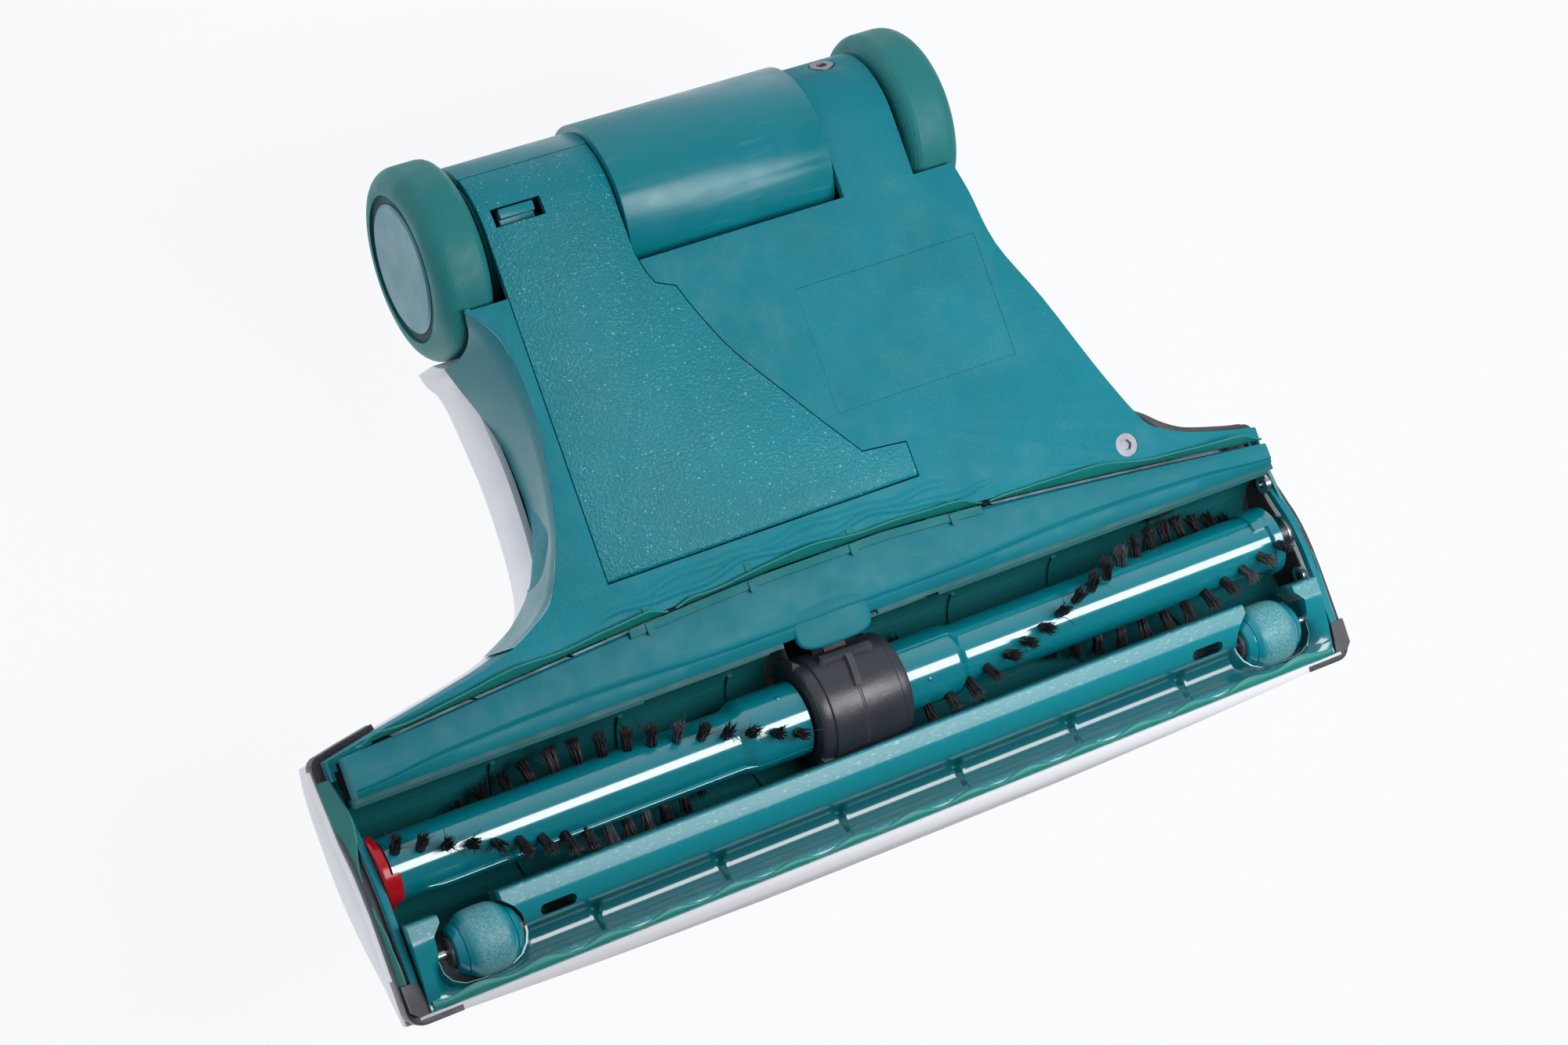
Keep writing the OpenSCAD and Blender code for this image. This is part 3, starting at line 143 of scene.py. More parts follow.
def stage_finish(name, tint, mirrored):
    """White ground seen from its front alone, and in gloss where mirrored is set. Other light
    passes through it, so it keeps the soft shadow of the head and shades nothing itself."""
    mat = bpy.data.materials.new(name)
    tree = node_tree(mat)
    out = tree.nodes.new("ShaderNodeOutputMaterial")
    clear = tree.nodes.new("ShaderNodeBsdfTransparent")
    matt = tree.nodes.new("ShaderNodeBsdfDiffuse")
    matt.inputs["Color"].default_value = (*tint, 1)
    glow = tree.nodes.new("ShaderNodeEmission")
    glow.inputs["Color"].default_value = (0.985, 0.988, 1, 1)
    body = tree.nodes.new("ShaderNodeMixShader")
    body.inputs[0].default_value = 0.92
    ray = tree.nodes.new("ShaderNodeLightPath")
    geometry = tree.nodes.new("ShaderNodeNewGeometry")
    seen = tree.nodes.new("ShaderNodeMath")
    seen.operation = "MAXIMUM"
    front = tree.nodes.new("ShaderNodeMath")
    front.operation = "SUBTRACT"
    front.use_clamp = True
    mix = tree.nodes.new("ShaderNodeMixShader")
    link(tree, matt.outputs[0], body.inputs[1])
    link(tree, glow.outputs[0], body.inputs[2])
    link(tree, ray.outputs["Is Camera Ray"], seen.inputs[0])
    if mirrored:
        link(tree, ray.outputs["Is Glossy Ray"], seen.inputs[1])
    else:
        link(tree, ray.outputs["Is Transmission Ray"], seen.inputs[1])
    link(tree, seen.outputs[0], front.inputs[0])
    link(tree, geometry.outputs["Backfacing"], front.inputs[1])
    link(tree, front.outputs[0], mix.inputs[0])
    link(tree, clear.outputs[0], mix.inputs[1])
    link(tree, body.outputs[0], mix.inputs[2])
    link(tree, mix.outputs[0], out.inputs["Surface"])
    return mat


def ground(name, z, up, mirrored):
    """A wide white square at height z that faces up or down, and shows in gloss if mirrored."""
    reach = 4.0
    corners = [(-reach, -reach, z), (reach, -reach, z), (reach, reach, z), (-reach, reach, z)]
    mesh = bpy.data.meshes.new(name)
    mesh.from_pydata(corners, [], [(0, 1, 2, 3) if up else (3, 2, 1, 0)])
    obj = bpy.data.objects.new(name, mesh)
    scene.collection.objects.link(obj)
    mesh.materials.append(stage_finish(name, (0.9, 0.9, 0.93), mirrored))


set_camera()
make_world()
top_z = cad_box[1][2]
ground("floor", 0.0, True, False)
ground("table", top_z + 0.001, False, True)
lamp("under_key", (-0.215, -0.116, -0.53), (0, 0, 1), (0.56, 0.26), 8.0)
lamp("over_key", (0.45, -0.60, 1.15), (-0.36, 0.50, -0.80), (0.9, 0.5), 4.5)
lamp("over_fill", (-0.80, 0.65, 0.95), (0.6, -0.5, -0.62), (0.7, 0.7), 1.2)

# ------------------------------------------------------------------ finishes


class Finish:
    """A moulded finish: colour, mottle, grain and wear come from noise on Object coordinates."""

    def __init__(self, name, colour, rough, spec=0.5):
        self.mat = bpy.data.materials.new(name)
        self.tree = node_tree(self.mat)
        new = self.tree.nodes.new
        self.out = new("ShaderNodeOutputMaterial")
        self.bsdf = new("ShaderNodeBsdfPrincipled")
        self.bsdf.inputs["Base Color"].default_value = (*colour, 1)
        self.bsdf.inputs["Roughness"].default_value = rough
        self.bsdf.inputs["Specular IOR Level"].default_value = spec
        self.coord = new("ShaderNodeTexCoord")
        self.normal = None
        self.colour = None
        self.base = colour
        link(self.tree, self.bsdf.outputs[0], self.out.inputs["Surface"])

    def noise(self, size, detail=2.0, stretch=(1, 1, 1)):
        """Noise whose lumps are about size millimetres wide, stretched along the axes."""
        new = self.tree.nodes.new
        place = new("ShaderNodeMapping")
        place.inputs["Scale"].default_value = [1/(size*MM*s) for s in stretch]
        field = new("ShaderNodeTexNoise")
        field.inputs["Scale"].default_value = 1.0
        field.inputs["Detail"].default_value = detail
        link(self.tree, self.coord.outputs["Object"], place.inputs["Vector"])
        link(self.tree, place.outputs[0], field.inputs["Vector"])
        return field.outputs["Fac"]

    def ramp(self, value, low, high, a=0.0, b=1.0):
        """Goes from a to b as value goes from low to high, and stays there outside."""
        ramp = self.tree.nodes.new("ShaderNodeMapRange")
        for name, number in (("From Min", low), ("From Max", high), ("To Min", a), ("To Max", b)):
            ramp.inputs[name].default_value = number
        link(self.tree, value, ramp.inputs["Value"])
        return ramp.outputs[0]

    def tint(self, value, colour):
        """Blends the colour in where value is high."""
        mix = self.tree.nodes.new("ShaderNodeMix")
        mix.data_type = "RGBA"
        link(self.tree, value, mix.inputs["Factor"])
        if self.colour is None:
            mix.inputs["A"].default_value = (*self.base, 1)
        else:
            link(self.tree, self.colour, mix.inputs["A"])
        mix.inputs["B"].default_value = (*colour, 1)
        self.colour = mix.outputs["Result"]
        link(self.tree, self.colour, self.bsdf.inputs["Base Color"])
        return self

    def bump(self, value, height):
        """Raises the surface by height millimetres where value goes from 0 to 1."""
        bump = self.tree.nodes.new("ShaderNodeBump")
        bump.inputs["Distance"].default_value = height*MM
        link(self.tree, value, bump.inputs["Height"])
        if self.normal is not None:
            link(self.tree, self.normal, bump.inputs["Normal"])
        self.normal = bump.outputs[0]
        link(self.tree, self.normal, self.bsdf.inputs["Normal"])
        return self

    def rough(self, value, low, high):
        """Lets the roughness follow value between low and high."""
        link(self.tree, self.ramp(value, 0.3, 0.7, low, high), self.bsdf.inputs["Roughness"])
        return self

    def along(self, axis):
        """Object coordinate X, Y or Z in millimetres."""
        split = self.tree.nodes.new("ShaderNodeSeparateXYZ")
        size = self.tree.nodes.new("ShaderNodeMath")
        size.operation = "MULTIPLY"
        size.inputs[1].default_value = 1/MM
        link(self.tree, self.coord.outputs["Object"], split.inputs[0])
        link(self.tree, split.outputs[axis], size.inputs[0])
        return size.outputs[0]

    def worn(self):
        """How worn the mesh says each point is."""
        wear = self.tree.nodes.new("ShaderNodeAttribute")
        wear.attribute_name = "worn"
        return wear.outputs["Fac"]

    def both(self, a, b):
        """The product of two masks."""
        product = self.tree.nodes.new("ShaderNodeMath")
        product.operation = "MULTIPLY"
        link(self.tree, a, product.inputs[0])
        link(self.tree, b, product.inputs[1])
        return product.outputs[0]


def moulded(name, colour, rough, grain=0.0, height=0.0, spec=0.5, mottle=0.12, scuff=0.0, coat=0.0,
             specks=0.0, edges=0.0):
    """Plastic with a broad mottle, and where asked a grain of lumps, pale scuffs, pale specks that
    are painted glints, pale edges that are partly rubbed wear and partly a painted highlight, and a
    clear coat."""
    f = Finish(name, colour, rough, spec)
    dark = tuple(c*(1 - mottle) for c in colour)
    f.tint(f.ramp(f.noise(28, 3), 0.35, 0.7), dark)
    if grain:
        lumps = f.noise(grain, 2.5)
        f.bump(f.ramp(lumps, 0.35, 0.7), height)
        pale = tuple(min(1, c*1.18 + 0.012) for c in colour)
        f.tint(f.ramp(lumps, 0.56, 0.78, 0, 0.55), pale)
    if scuff:
        scratches = f.noise(2.4, 3, (9, 1, 1))
        f.tint(f.ramp(scratches, 0.62, 0.8, 0, scuff), tuple(min(1, c + 0.16) for c in colour))
    if edges:
        # Pale on sharp edges: partly rubbed wear, partly a painted highlight along them.
        shape = f.tree.nodes.new("ShaderNodeNewGeometry")
        worn = f.ramp(shape.outputs["Pointiness"], 0.53, 0.60, 0, edges)
        f.tint(worn, tuple(c + 0.05 for c in colour))
    if specks:
        # Painted glints: pale specks from a fine noise.
        f.tint(f.ramp(f.noise(0.75, 1.5), 0.68, 0.74, 0, specks), (0.40, 0.66, 0.68))
    f.rough(f.noise(9, 4), rough*0.8, min(1, rough*1.2))
    if coat:
        f.bsdf.inputs["Coat Weight"].default_value = coat
        f.bsdf.inputs["Coat Roughness"].default_value = 0.06
    return f.mat


def bar_finish():
    """Teal bar: a rough worn flat with pale worn specks, a glossy round below it, a channel
    darkened with painted shade, and a rim lightened with a painted highlight and painted glints.
    """
    f = Finish("worn_bar_teal_painted_shade_and_highlight", (0.005, 0.225, 0.275), 0.3, 0.9)
    flat = f.ramp(f.along("Y"), -101.4, -100.2)
    low = f.ramp(f.along("Z"), 7.6, 10.4)
    rim = f.ramp(f.along("Y"), -119.5, -121)
    # Painted shade: the channel, deeper in Z, is tinted dark.
    f.tint(f.ramp(low, 0, 1, 0, 0.8), (0.001, 0.075, 0.095))
    # Painted highlight: the rim towards the lip is tinted lighter.
    f.tint(f.ramp(rim, 0, 1, 0, 0.75), (0.03, 0.26, 0.30))
    # Pale specks: worn on the flat, painted glints on the rim.
    specks = f.ramp(f.noise(0.7, 2, (3, 1, 1)), 0.60, 0.70)
    f.tint(f.ramp(f.both(specks, flat), 0, 1, 0, 0.5), (0.35, 0.60, 0.62))
    # Painted glints on the rim.
    f.tint(f.ramp(f.both(specks, rim), 0, 1, 0, 0.6), (0.45, 0.65, 0.66))
    link(f.tree, f.ramp(flat, 0, 1, 0.17, 0.46), f.bsdf.inputs["Roughness"])
    return f.mat


def roller_finish():
    """Teal barrel with a pale dusty band round its middle."""
    f = Finish("roller_teal", (0.003, 0.215, 0.28), 0.2, 0.6)
    dust = f.worn()
    specks = f.ramp(f.noise(0.7, 2.5), 0.40, 0.66, 0.25, 1.0)
    f.tint(f.ramp(f.both(dust, specks), 0, 1, 0, 0.62), (0.26, 0.46, 0.46))
    link(f.tree, f.ramp(dust, 0, 1, 0.16, 0.55), f.bsdf.inputs["Roughness"])
    return f.mat


def bristle_finish():
    """Black hairs, the worn ones grey."""
    f = Finish("black_bristle", (0.004, 0.004, 0.006), 0.42, 0.4)
    f.tint(f.worn(), (0.16, 0.16, 0.18))
    return f.mat


TEAL = (0.005, 0.215, 0.275)
finish = {
    "plate": moulded("grained_teal", TEAL, 0.6, 0.9, 0.08, spec=0.24),
    # The cover's pale specks are painted glints.
    "cover": moulded("coarse_grained_teal_painted_glints", (0.004, 0.225, 0.285), 0.42, 1.0, 0.2, spec=0.34,
                     specks=0.7),
    "smooth": moulded("smooth_teal", (0.004, 0.215, 0.27), 0.36, spec=0.4, scuff=0.2),
    "side": moulded("satin_side_teal", (0.005, 0.20, 0.25), 0.34, spec=0.55, mottle=0.06),
    "drum": moulded("satin_teal", (0.003, 0.215, 0.27), 0.32, spec=0.5, scuff=0.3),
    "gloss": moulded("glossy_teal", (0.001, 0.200, 0.25), 0.14, spec=1.0, mottle=0.04, coat=0.9),
    "bar": bar_finish(),
    "rear": moulded("waxy_teal", (0.004, 0.185, 0.235), 0.5, spec=0.2, scuff=0.12),
    "roller": roller_finish(),
    # Painted shade: the chamber's hollow gets a darker teal than the outer mouldings.
    "chamber": moulded("painted_shade_chamber_teal", (0.008, 0.13, 0.145), 0.5, spec=0.25),
    "tyre": moulded("tyre_green", (0.012, 0.20, 0.205), 0.55, 0.8, 0.03, spec=0.4, mottle=0.08),
    "cap": moulded("cap_teal", (0.05, 0.25, 0.33), 0.40, 0.7, 0.02, spec=0.8),
    # Painted shade: the hub, seen in the gap between tyre and cap, is a very dark teal.
    "hub": moulded("painted_shade_hub_teal", (0.003, 0.055, 0.065), 0.5, spec=0.1),
    "lip": moulded("soft_green", (0.006, 0.22, 0.20), 0.45, mottle=0.1),
    "carrier": moulded("grey_green", (0.015, 0.19, 0.21), 0.6, spec=0.15, mottle=0.1, scuff=0.15),
    "strip": moulded("dull_strip", (0.07, 0.11, 0.12), 0.5, mottle=0.3),
    "white": moulded("white_shell", (0.80, 0.81, 0.86), 0.5, spec=0.2, mottle=0.01),
    "bumper": moulded("soft_grey", (0.055, 0.055, 0.068), 0.5, 0.7, 0.03),
    # The housing's pale edges are partly a painted highlight.
    "black": moulded("black_housing", (0.028, 0.031, 0.042), 0.36, 1.0, 0.02, spec=0.6, scuff=0.06,
                     edges=0.6),
    # Painted shade: a darker, duller copy of the housing's black, for the arm inside the head.
    "dark": moulded("painted_shade_dark_inside", (0.008, 0.008, 0.010), 0.6, spec=0.1),
    "bristle": bristle_finish(),
    "red": moulded("glossy_red", (0.45, 0.004, 0.010), 0.22, mottle=0.06),
    "steel": moulded("bright_steel", (0.62, 0.62, 0.64), 0.28, mottle=0.1),
    "screw": moulded("dull_screw", (0.30, 0.31, 0.35), 0.55, mottle=0.1),
    "bronze": moulded("oiled_bronze", (0.35, 0.24, 0.10), 0.4),
    "ivory": moulded("ivory_plastic", (0.55, 0.53, 0.44), 0.4, mottle=0.05),
    "yellow": moulded("yellow_plastic", (0.60, 0.42, 0.02), 0.35, mottle=0.05),
    "board": moulded("board_green", (0.02, 0.13, 0.05), 0.4),
    "clear": moulded("pale_lens", (0.55, 0.62, 0.60), 0.15, mottle=0.02),
    # Also the finish of a sheet of painted shade inside the shell's end.
    "disc": moulded("dusty_disc_and_painted_shade", (0.045, 0.040, 0.040), 0.6, 1.0, 0.05, spec=0.1),
}
for metal in ("steel", "bronze", "strip", "screw"):
    finish[metal].node_tree.nodes["Principled BSDF"].inputs["Metallic"].default_value = 1

CAD_FINISH = {
    "plate": ["base_plate", "rating_plate", "neck_tube"],
    "cover": ["channel_cover"],
    "smooth": ["left_cheek", "cover_latch", "suction_duct", "motor_cradle", "collar_ring"],
    "hub": ["wheel_hub_left", "wheel_hub_right"],
    "drum": ["tilt_drum"],
    "gloss": ["brush_tube_left", "brush_tube_right"],
    "bar": ["front_frame"],
    "rear": ["rear_bar"],
    "roller": ["roller_left", "roller_right"],
    "chamber": ["brush_chamber"],
    "tyre": ["tyre_left", "tyre_right"],
    "cap": ["hub_cap_left", "hub_cap_right"],
    "lip": ["front_lip", "rear_lips", "side_lips"],
    "white": ["upper_housing"],
    "bumper": ["bumper_left", "bumper_right"],
    "black": ["drive_housing", "contact_block", "motor_lead", "release_button", "drive_belt",
              "neck_seal"],
    "bristle": ["bristles_left", "bristles_right"],
    "red": ["end_cap"],
    "screw": ["housing_screws"],
    "steel": ["lip_strips", "end_eyelets", "bearing_pins", "drive_shaft", "motor_shaft",
              "wheel_axles", "roller_pins", "latch_spring", "button_spring", "motor"],
    "bronze": ["drive_bushes"],
    "ivory": ["brush_pulley", "motor_pulley"],
    "yellow": ["marker_peg"],
    "board": ["circuit_board"],
    "clear": ["indicator_lens"],
    "disc": ["vent_disc"],
}
finish_of = {n: key for key, members in CAD_FINISH.items() for n in members}
for name, obj in nodes.items():
    obj.data.materials.clear()
    obj.data.materials.append(finish[finish_of[name]])

# ------------------------------------------------------------------ making pieces


def add(name, mesh, like, body, replaces=()):
    """Puts a finished mesh into the scene on a body and in a finish, and hides the nodes it replaces.
    """
    obj = bpy.data.objects.new(name, mesh)
    scene.collection.objects.link(obj)
    mesh.materials.clear()
    mesh.materials.append(finish[like])
    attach(obj, body)
    if replaces:
        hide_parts(*replaces)
    return obj


# Edges of the CAD nodes sharper than this many degrees are rounded over.
SOFTENED_PAST = 28


def instead(node, name, mesh, like):
    """Puts a mesh in the place of a CAD node, on its body, and hides the node."""
    add(name, mesh, like, body_of[node], (node,))


def beside(node, name, mesh, like):
    """Adds a mesh to a CAD node, on its body."""
    add(name, mesh, like, body_of[node])


def softened(name, width):
    """A copy of a CAD node whose edges past an angle are rounded over by width millimetres."""
    mesh = nodes[name].data.copy()
    mesh.name = name + "_soft"
    bm = bmesh.new()
    bm.from_mesh(mesh)
    bmesh.ops.remove_doubles(bm, verts=bm.verts, dist=SAME_POINT)
    bmesh.ops.dissolve_limit(bm, angle_limit=math.radians(0.6), verts=bm.verts, edges=bm.edges)
    for face in bm.faces:
        face.smooth = True
    bm.to_mesh(mesh)
    bm.free()
    obj = add(name + "_soft", mesh, finish_of[name], body_of[name], (name,))
    bevel = obj.modifiers.new("round", "BEVEL")
    bevel.width = width*MM
    bevel.segments = 2
    bevel.limit_method = "ANGLE"
    bevel.angle_limit = math.radians(SOFTENED_PAST)
    bevel.harden_normals = True
    return obj


# ------------------------------------------------------------------ surfaces on grids


def smooth(t):
    """Rises from 0 to 1 as t does, with level ends: t squared times (3 - 2t)."""
    t = np.clip(t, 0, 1)
    return t*t*(3 - 2*t)


def bell(t):
    """A hump of height 1 over t from -1 to 1: (1 - t squared) squared."""
    return np.clip(1 - np.asarray(t)**2, 0, 1)**2


def middle(name):
    """The middle of a CAD node's box, in millimetres."""
    low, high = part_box(name)
    return (np.array(low) + np.array(high))/2/MM


BRUSH = middle("drive_shaft")[1:]
WHEEL = middle("hub_cap_left")[1:]
ROLLER = middle("roller_left")[1:]
ROLLER_X = {1: middle("roller_left")[0], -1: middle("roller_right")[0]}


def about(axis, x, r, angle):
    """Points at radius r about an X axis, at an angle from straight down towards the back."""
    a = np.radians(angle)
    x, y, z = np.broadcast_arrays(x, axis[0] + r*np.sin(a), axis[1] - r*np.cos(a))
    return np.stack([x, y, z], axis=-1).astype(float)


class Patches:
    """Grids of points in millimetres, joined into one mesh."""

    def __init__(self):
        self.points, self.faces, self.count = [], [], 0

    def grid(self, p, wrap=False):
        """Quads between the neighbours of a rows by columns grid, closed round its columns
        where wrap is set."""
        rows, cols = p.shape[:2]
        index = np.arange(rows*cols).reshape(rows, cols) + self.count
        if wrap:
            index = np.concatenate([index, index[:, :1]], axis=1)
        corners = (index[:-1, :-1], index[1:, :-1], index[1:, 1:], index[:-1, 1:])
        self.faces += np.stack(corners, axis=-1).reshape(-1, 4).tolist()
        self.points.append(p.reshape(-1, 3))
        self.count += rows*cols
        return index

    def rod(self, p):
        """A closed solid along a path of closed sections: a wrapped grid and a flat cap at
        each end."""
        index = self.grid(p, wrap=True)
        self.faces += [index[0, :-1].tolist(), index[-1, :-1].tolist()]

    def plate(self, p, q):
        """A closed thin solid between two grids of the same shape: both faces and four edges."""
        a, b = self.grid(p), self.grid(q)
        for u, v in ((a[0], b[0]), (a[-1], b[-1]), (a[:, 0], b[:, 0]), (a[:, -1], b[:, -1])):
            self.faces += np.stack([u[:-1], u[1:], v[1:], v[:-1]], axis=-1).tolist()

    def mesh(self, name, sharp=35):
        """The joined mesh in metres, with doubles merged, faces outwards and edges past the
        sharp angle kept crisp."""
        mesh = bpy.data.meshes.new(name)
        mesh.from_pydata(np.concatenate(self.points)*MM, [], self.faces)
        bm = bmesh.new()
        bm.from_mesh(mesh)
        bmesh.ops.remove_doubles(bm, verts=bm.verts, dist=SAME_POINT)
        bmesh.ops.dissolve_degenerate(bm, edges=bm.edges, dist=1e-7)
        bmesh.ops.recalc_face_normals(bm, faces=bm.faces)
        bm.to_mesh(mesh)
        bm.free()
        mesh.shade_smooth()
        mesh.set_sharp_from_angle(angle=math.radians(sharp))
        return mesh


def carve(mesh, cutters, join, sharp):
    """A mesh with others joined to it and others cut out of it."""
    work = bpy.data.objects.new("work", mesh)
    scene.collection.objects.link(work)
    helpers = []
    for operation, group in (("UNION", join), ("DIFFERENCE", cutters)):
        for other in group:
            helper = bpy.data.objects.new("helper", other)
            scene.collection.objects.link(helper)
            helpers.append(helper)
            cut = work.modifiers.new(operation, "BOOLEAN")
            cut.operation = operation
            cut.solver = "EXACT"
            cut.object = helper
    graph = bpy.context.evaluated_depsgraph_get()
    result = bpy.data.meshes.new_from_object(work.evaluated_get(graph), depsgraph=graph)
    for obj in [work] + helpers:
        bpy.data.objects.remove(obj)
    result.materials.clear()
    result.shade_smooth()
    result.set_sharp_from_angle(angle=math.radians(sharp))
    result.name = mesh.name + "_cut"
    return result


def spaced(start, end, step, *fine):
    """Stations from start to end about a step apart, with any fine lists (centre, reach, step)
    added round their centres."""
    lists = [np.linspace(start, end, max(2, int(round(abs(end - start)/step)) + 1))]
    for centre, reach, small in fine:
        lists.append(np.arange(centre - reach, centre + reach + small/2, small))
    x = np.unique(np.round(np.concatenate(lists), 4))
    return x[(x >= min(start, end)) & (x <= max(start, end))]


def turned(axis, section, count=72):
    """A solid turned about an X axis: each row of the section gives a place along X and a
    radius, and the closed section meets the axis or closes on itself."""
    section = np.array(section, float)
    angle = np.linspace(0, 360, count, endpoint=False)
    return about(axis, section[:, 0][:, None], section[:, 1][:, None], angle[None, :])


def swept(x, section):
    """A (y, z) section, or one section for each station, carried along the stations x."""
    section = np.asarray(section, float)
    if section.ndim == 2:
        section = np.broadcast_to(section, (len(x), *section.shape))
    place = np.broadcast_to(np.asarray(x, float)[:, None], section.shape[:2])
    return np.concatenate([place[..., None], section], axis=-1)


# ------------------------------------------------------------------ brush

TUBE_R = 10.4
TIP_R = 19.2
# How far a tube's ledge stands out, half its angle, and the angle over which its edges rise.
LEDGE = 0.9
LEDGE_HALF = 15.6
LEDGE_EDGE = 1.2


def tube_angles(ledge):
    """Angles round a tube, close together at the edges of its ledge."""
    edges = [(ledge + side, 3, 0.75) for side in (-16, 16)]
    fine = [np.arange(c - r, c + r + 0.1, s) for c, r, s in edges]
    return np.unique(np.round(np.concatenate([np.arange(0, 360, 5)] + fine) % 360, 3))


def brush_tube(s, x_in, x_end, neck, neck_l, taper_l, ledge, ledge_end):
    """A moulded tube: its radius is the neck's, falls smoothly over the taper to the tube's, and
    rises by the ledge's height inside a window of angle. The ledge is lower on the neck and runs
    down to nothing before the outer end."""
    x = spaced(x_in, x_end, 3, (x_in + neck_l + taper_l/2, taper_l*0.75, 0.5),
               (ledge_end + 3, 6, 0.75))
    a = tube_angles(ledge)
    r = neck + (TUBE_R - neck)*smooth((x - x_in - neck_l)/taper_l)
    off = np.abs((a - ledge + 180) % 360 - 180)
    window = 1 - smooth((off - LEDGE_HALF)/LEDGE_EDGE)
    grow = LEDGE*(0.2 + 0.8*smooth((x - x_in - neck_l)/taper_l))*(1 - smooth((x - ledge_end)/11))
    skin = r[:, None] + grow[:, None]*window[None, :]
    p = Patches()
    p.rod(about(BRUSH, s*x[:, None], skin, a[None, :]))
    return p


def nub(p, x, angle, r, size=1.0):
    """A small round pip on a tube: half an ellipsoid turned about the line out of the tube."""
    t, u = np.meshgrid(np.linspace(0, math.pi/2, 5), np.linspace(0, 2*math.pi, 12, endpoint=False),
                       indexing="ij")
    out = r - 0.2 + 0.7*size*np.cos(t)
    turn = angle + np.degrees(size*np.sin(t)*np.sin(u)/r)
    p.rod(about(BRUSH, x + size*np.sin(t)*np.cos(u), out, turn))


tube = brush_tube(1, 22.7, 167.4, 12.4, 19, 6, -72, 150)
nub(tube, 29.9, 41, 12.4)
instead("brush_tube_left", "brush_tube_left_moulded", tube.mesh("brush_tube_left_moulded"), "gloss")

tube = brush_tube(-1, 13.7, 164.6, 12, 20, 4, 62, 149)
nub(tube, -21.9, -15, 12)
# The flange at the right tube's outer end, and a collar over its rear side.
rim = [(-160.6, 9.5), (-160.6, 11.6), (-161.0, 12), (-164.0, 12), (-164.4, 11.6), (-164.4, 9.5)]
tube.rod(turned(BRUSH, rim))
turn = np.linspace(25, 200, 40)
shelf = np.array([(-155.4, 9.8), (-155.4, 11.5), (-155.8, 11.8), (-161.2, 11.8), (-161.2, 9.8)])
tube.rod(about(BRUSH, shelf[:, 0][None, :], shelf[:, 1][None, :], turn[:, None]))
instead("brush_tube_right", "brush_tube_right_moulded",
        tube.mesh("brush_tube_right_moulded"), "gloss")


def tuft_rows(s, x_in, x_end, neck, neck_l, first, slope, start, gap, shift, pitch=7.6):
    """Feet of the two rows that wind round a tube: place along X, angle and radius. The angle
    grows by slope degrees for each millimetre out. The second row trails by a gap and is shifted
    along X."""
    x = np.arange(first, x_end - 2.5, pitch)
    place = np.concatenate([x, x + shift])
    angle = np.concatenate([start + slope*(x - first), start - gap + slope*(x + shift - first)])
    keep = place < x_end - 2
    place, angle = place[keep], angle[keep]
    foot = neck + (TUBE_R - neck)*smooth((place - x_in - neck_l)/5)
    return s*place, angle, foot


def tufts(node, name, feet, seed, count=84):
    """Hairs of every tuft at once. A hair starts on its foot's disc, stands out from the tube,
    leans with its tuft, spreads by the square of the way out and frays by the cube of it. Each
    hair is three sided and tapers, and an attribute says how pale and worn it is."""
    rng = np.random.default_rng(seed)
    x, angle, foot = (np.asarray(v, float)[:, None] for v in feet)
    shape = (len(x), count)
    far = 1.6*np.sqrt(rng.random(shape))
    way = rng.random(shape)*2*math.pi
    du, dv = far*np.cos(way), far*np.sin(way)
    lean_x, lean_v = rng.normal(0, 0.05, x.shape), rng.normal(0, 0.06, x.shape)
    fray_x, fray_v = rng.normal(0, 0.6, shape), rng.normal(0, 0.65, shape)
    wild = rng.random(shape) > 0.95
    fray_x, fray_v = np.where(wild, fray_x*4, fray_x), np.where(wild, fray_v*4, fray_v)
    length = (TIP_R - foot)*(1 - 0.16*rng.random(shape)**1.6 - 0.05*rng.random(x.shape))
    t = np.array([0, 0.45, 0.8, 1.0])[:, None, None]
    out = foot - 0.6 + t*(length + 0.5)
    go_x = x + du*(1 + 0.35*t**2) + lean_x*length*t + fray_x*t**3
    go_v = dv*(1 + 0.35*t**2) + lean_v*length*t + fray_v*t**3
    thin = np.array([0.18, 0.17, 0.14, 0.06])
    corner = np.arange(3)*2*math.pi/3
    cx = go_x[..., None] + thin[:, None, None, None]*np.cos(corner)
    cv = go_v[..., None] + thin[:, None, None, None]*np.sin(corner)
    a = np.radians(angle)[None, :, :, None]
    out = np.minimum(out[..., None], np.sqrt(np.maximum(TIP_R**2 - cv**2, 1)))
    y = BRUSH[0] + out*np.sin(a) + cv*np.cos(a)
    z = BRUSH[1] - out*np.cos(a) + cv*np.sin(a)
    points = np.moveaxis(np.stack([cx, y, z], axis=-1), 0, 2).reshape(-1, 3)
    hairs = np.arange(len(points)//12)[:, None]*12
    ring = np.array([(3*i + j, 3*i + (j + 1) % 3, 3*i + 3 + (j + 1) % 3, 3*i + 3 + j)
                     for i in range(3) for j in range(3)])
    faces = (hairs[:, :, None] + ring[None]).reshape(-1, 4).tolist()
    faces += (hairs + np.array([[0, 2, 1]])).tolist() + (hairs + np.array([[9, 10, 11]])).tolist()
    mesh = bpy.data.meshes.new(name)
    mesh.from_pydata(points*MM, [], faces)
    worn = np.repeat((rng.random(x.shape) > 0.9)*0.35 + rng.random(shape)*0.22, 12)
    mesh.attributes.new("worn", "FLOAT", "POINT").data.foreach_set("value", worn.astype(np.float32))
    mesh.shade_smooth()
    instead(node, name, mesh, "bristle")


tufts("bristles_left", "bristles_left_hairs",
      tuft_rows(1, 22.7, 167, 12.4, 19, 28.5, 1.55, -19, 160, 6.6), 3)
tufts("bristles_right", "bristles_right_hairs",
      tuft_rows(-1, 13.7, 164, 12, 20, 21.2, 1.53, -71.6, 154, 3.8), 5)


